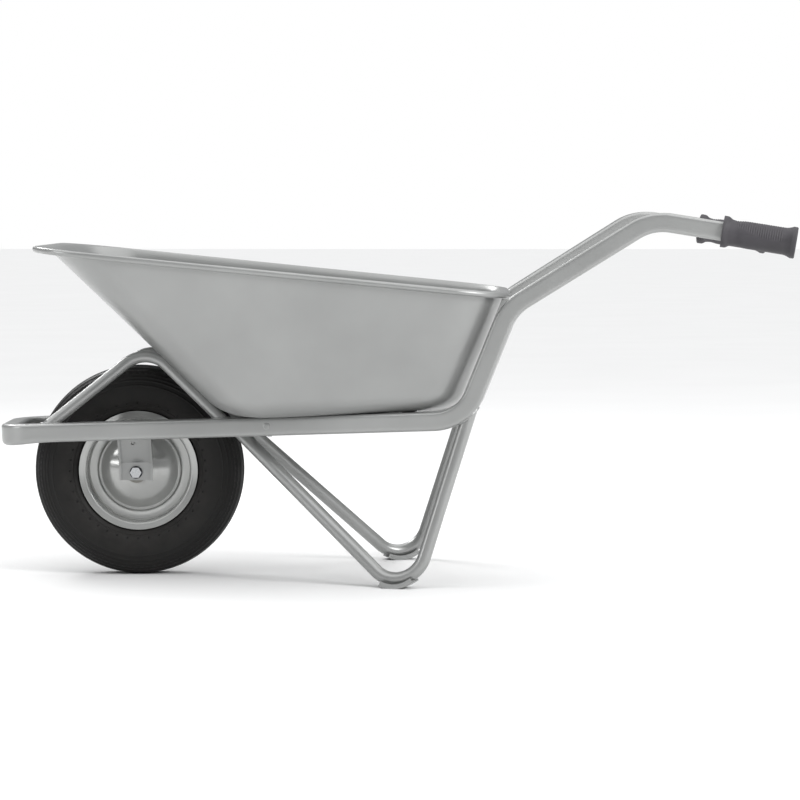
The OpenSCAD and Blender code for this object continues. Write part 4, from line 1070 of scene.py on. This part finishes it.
class BARROW_OT_stage(bpy.types.Operator):
    """Set the camera, the pale floor and the soft lights"""
    bl_idname = "barrow.stage"
    bl_label = "Stage"

    def execute(self, context):
        g, c = size_of("stage", "colours")
        data = bpy.data.cameras.new("Camera")
        data.sensor_width, data.lens, data.clip_end = SENSOR, g.lens, FAR_CLIP
        camera = bpy.data.objects.new("Camera", data)
        camera.location = (g.eye_x, g.eye_y, g.eye_z)
        camera.rotation_euler = facing(Vector((g.turn, 1, g.tip)))
        context.scene.collection.objects.link(camera)
        context.scene.camera = camera
        made, tree, shader = material("Matt pale floor")
        where = coordinates(tree)
        tree.links.new(tinted(tree, c.floor, spread(tree, noise(tree, where, 0.5, 2), 0.99, 1.01)),
                       shader.inputs["Base Color"])
        shader.inputs["Roughness"].default_value = 0.9
        reach = g.floor_reach
        floor = sheet_mesh("stage_floor", np.array([[[-reach, -reach, 0], [-reach, reach, 0]],
                                                    [[reach, -reach, 0], [reach, reach, 0]]]))
        floor.data.materials.append(made)
        context.scene.view_settings.view_transform = "Standard"
        world = bpy.data.worlds.new("Studio")
        context.scene.world = world
        world.use_nodes = True
        room = world.node_tree
        room.nodes.clear()
        seen = node(room, "ShaderNodeBackground", {"Color": (1, 1, 1, 1), "Strength": 1.0})
        lit = node(room, "ShaderNodeBackground", {"Color": (0.97, 0.985, 1, 1), "Strength": g.world})
        path = node(room, "ShaderNodeLightPath")
        both = node(room, "ShaderNodeMixShader", {0: path.outputs["Is Camera Ray"], 1: lit.outputs[0],
                                                  2: seen.outputs[0]})
        node(room, "ShaderNodeOutputWorld", {"Surface": both.outputs[0]})
        for name, place, size, power, aim in (
                ("Key", (3.2, -2.6, 2.4), (1.8, 1.4), 135, (0, 0, 0.3)),
                ("Fill", (-3.4, -1.6, 1.3), (0.9, 1.5), 22, (0, 0, 0.3)),
                ("Back", (-2.2, 2.6, 2.8), (1.6, 1.2), 60, (0, 0, 0.4))):
            lamp = bpy.data.lights.new(name, "AREA")
            lamp.shape, lamp.size, lamp.size_y, lamp.energy = "RECTANGLE", size[0], size[1], power
            obj = bpy.data.objects.new(name, lamp)
            obj.location = place
            obj.rotation_euler = facing(Vector(aim) - Vector(place))
            context.scene.collection.objects.link(obj)
        sky = bpy.data.lights.new("Overhead", "SUN")
        sky.energy, sky.angle = g.overhead, math.radians(100)
        context.scene.collection.objects.link(bpy.data.objects.new("Overhead", sky))
        return {"FINISHED"}


GROUPS = {"barrow_frame": BarrowFrame, "barrow_legs": BarrowLegs, "barrow_tray": BarrowTray,
          "barrow_wheel": BarrowWheel, "barrow_grips": BarrowGrips, "barrow_colours": BarrowColours,
          "barrow_stage": BarrowStage}
OPERATORS = (BARROW_OT_finishes, BARROW_OT_frame, BARROW_OT_legs, BARROW_OT_braces, BARROW_OT_welds,
             BARROW_OT_tray, BARROW_OT_tyre, BARROW_OT_rims, BARROW_OT_grips, BARROW_OT_stage)


class BARROW_PT_panel(bpy.types.Panel):
    """Sizes, colours and build steps of the barrow"""
    bl_idname = "BARROW_PT_panel"
    bl_label = "Barrow"
    bl_space_type = "VIEW_3D"
    bl_region_type = "UI"
    bl_category = "Barrow"

    def draw(self, context):
        for name, group in GROUPS.items():
            box = self.layout.box()
            box.label(text=group.__doc__)
            for key in group.__annotations__:
                box.prop(getattr(context.scene, name), key)
        for operator in OPERATORS:
            self.layout.operator(operator.bl_idname)


def register():
    for cls in (*GROUPS.values(), *OPERATORS, BARROW_PT_panel):
        bpy.utils.register_class(cls)
    for name, group in GROUPS.items():
        setattr(bpy.types.Scene, name, PointerProperty(type=group))


def unregister():
    for name in GROUPS:
        delattr(bpy.types.Scene, name)
    for cls in (BARROW_PT_panel, *OPERATORS[::-1], *list(GROUPS.values())[::-1]):
        bpy.utils.unregister_class(cls)


def main():
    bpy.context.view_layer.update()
    register()
    for operator in OPERATORS:
        group, name = operator.bl_idname.split(".")
        if getattr(getattr(bpy.ops, group), name)() != {"FINISHED"}:
            raise RuntimeError(f"{operator.bl_label} did not finish")


if __name__ == "__main__":
    main()
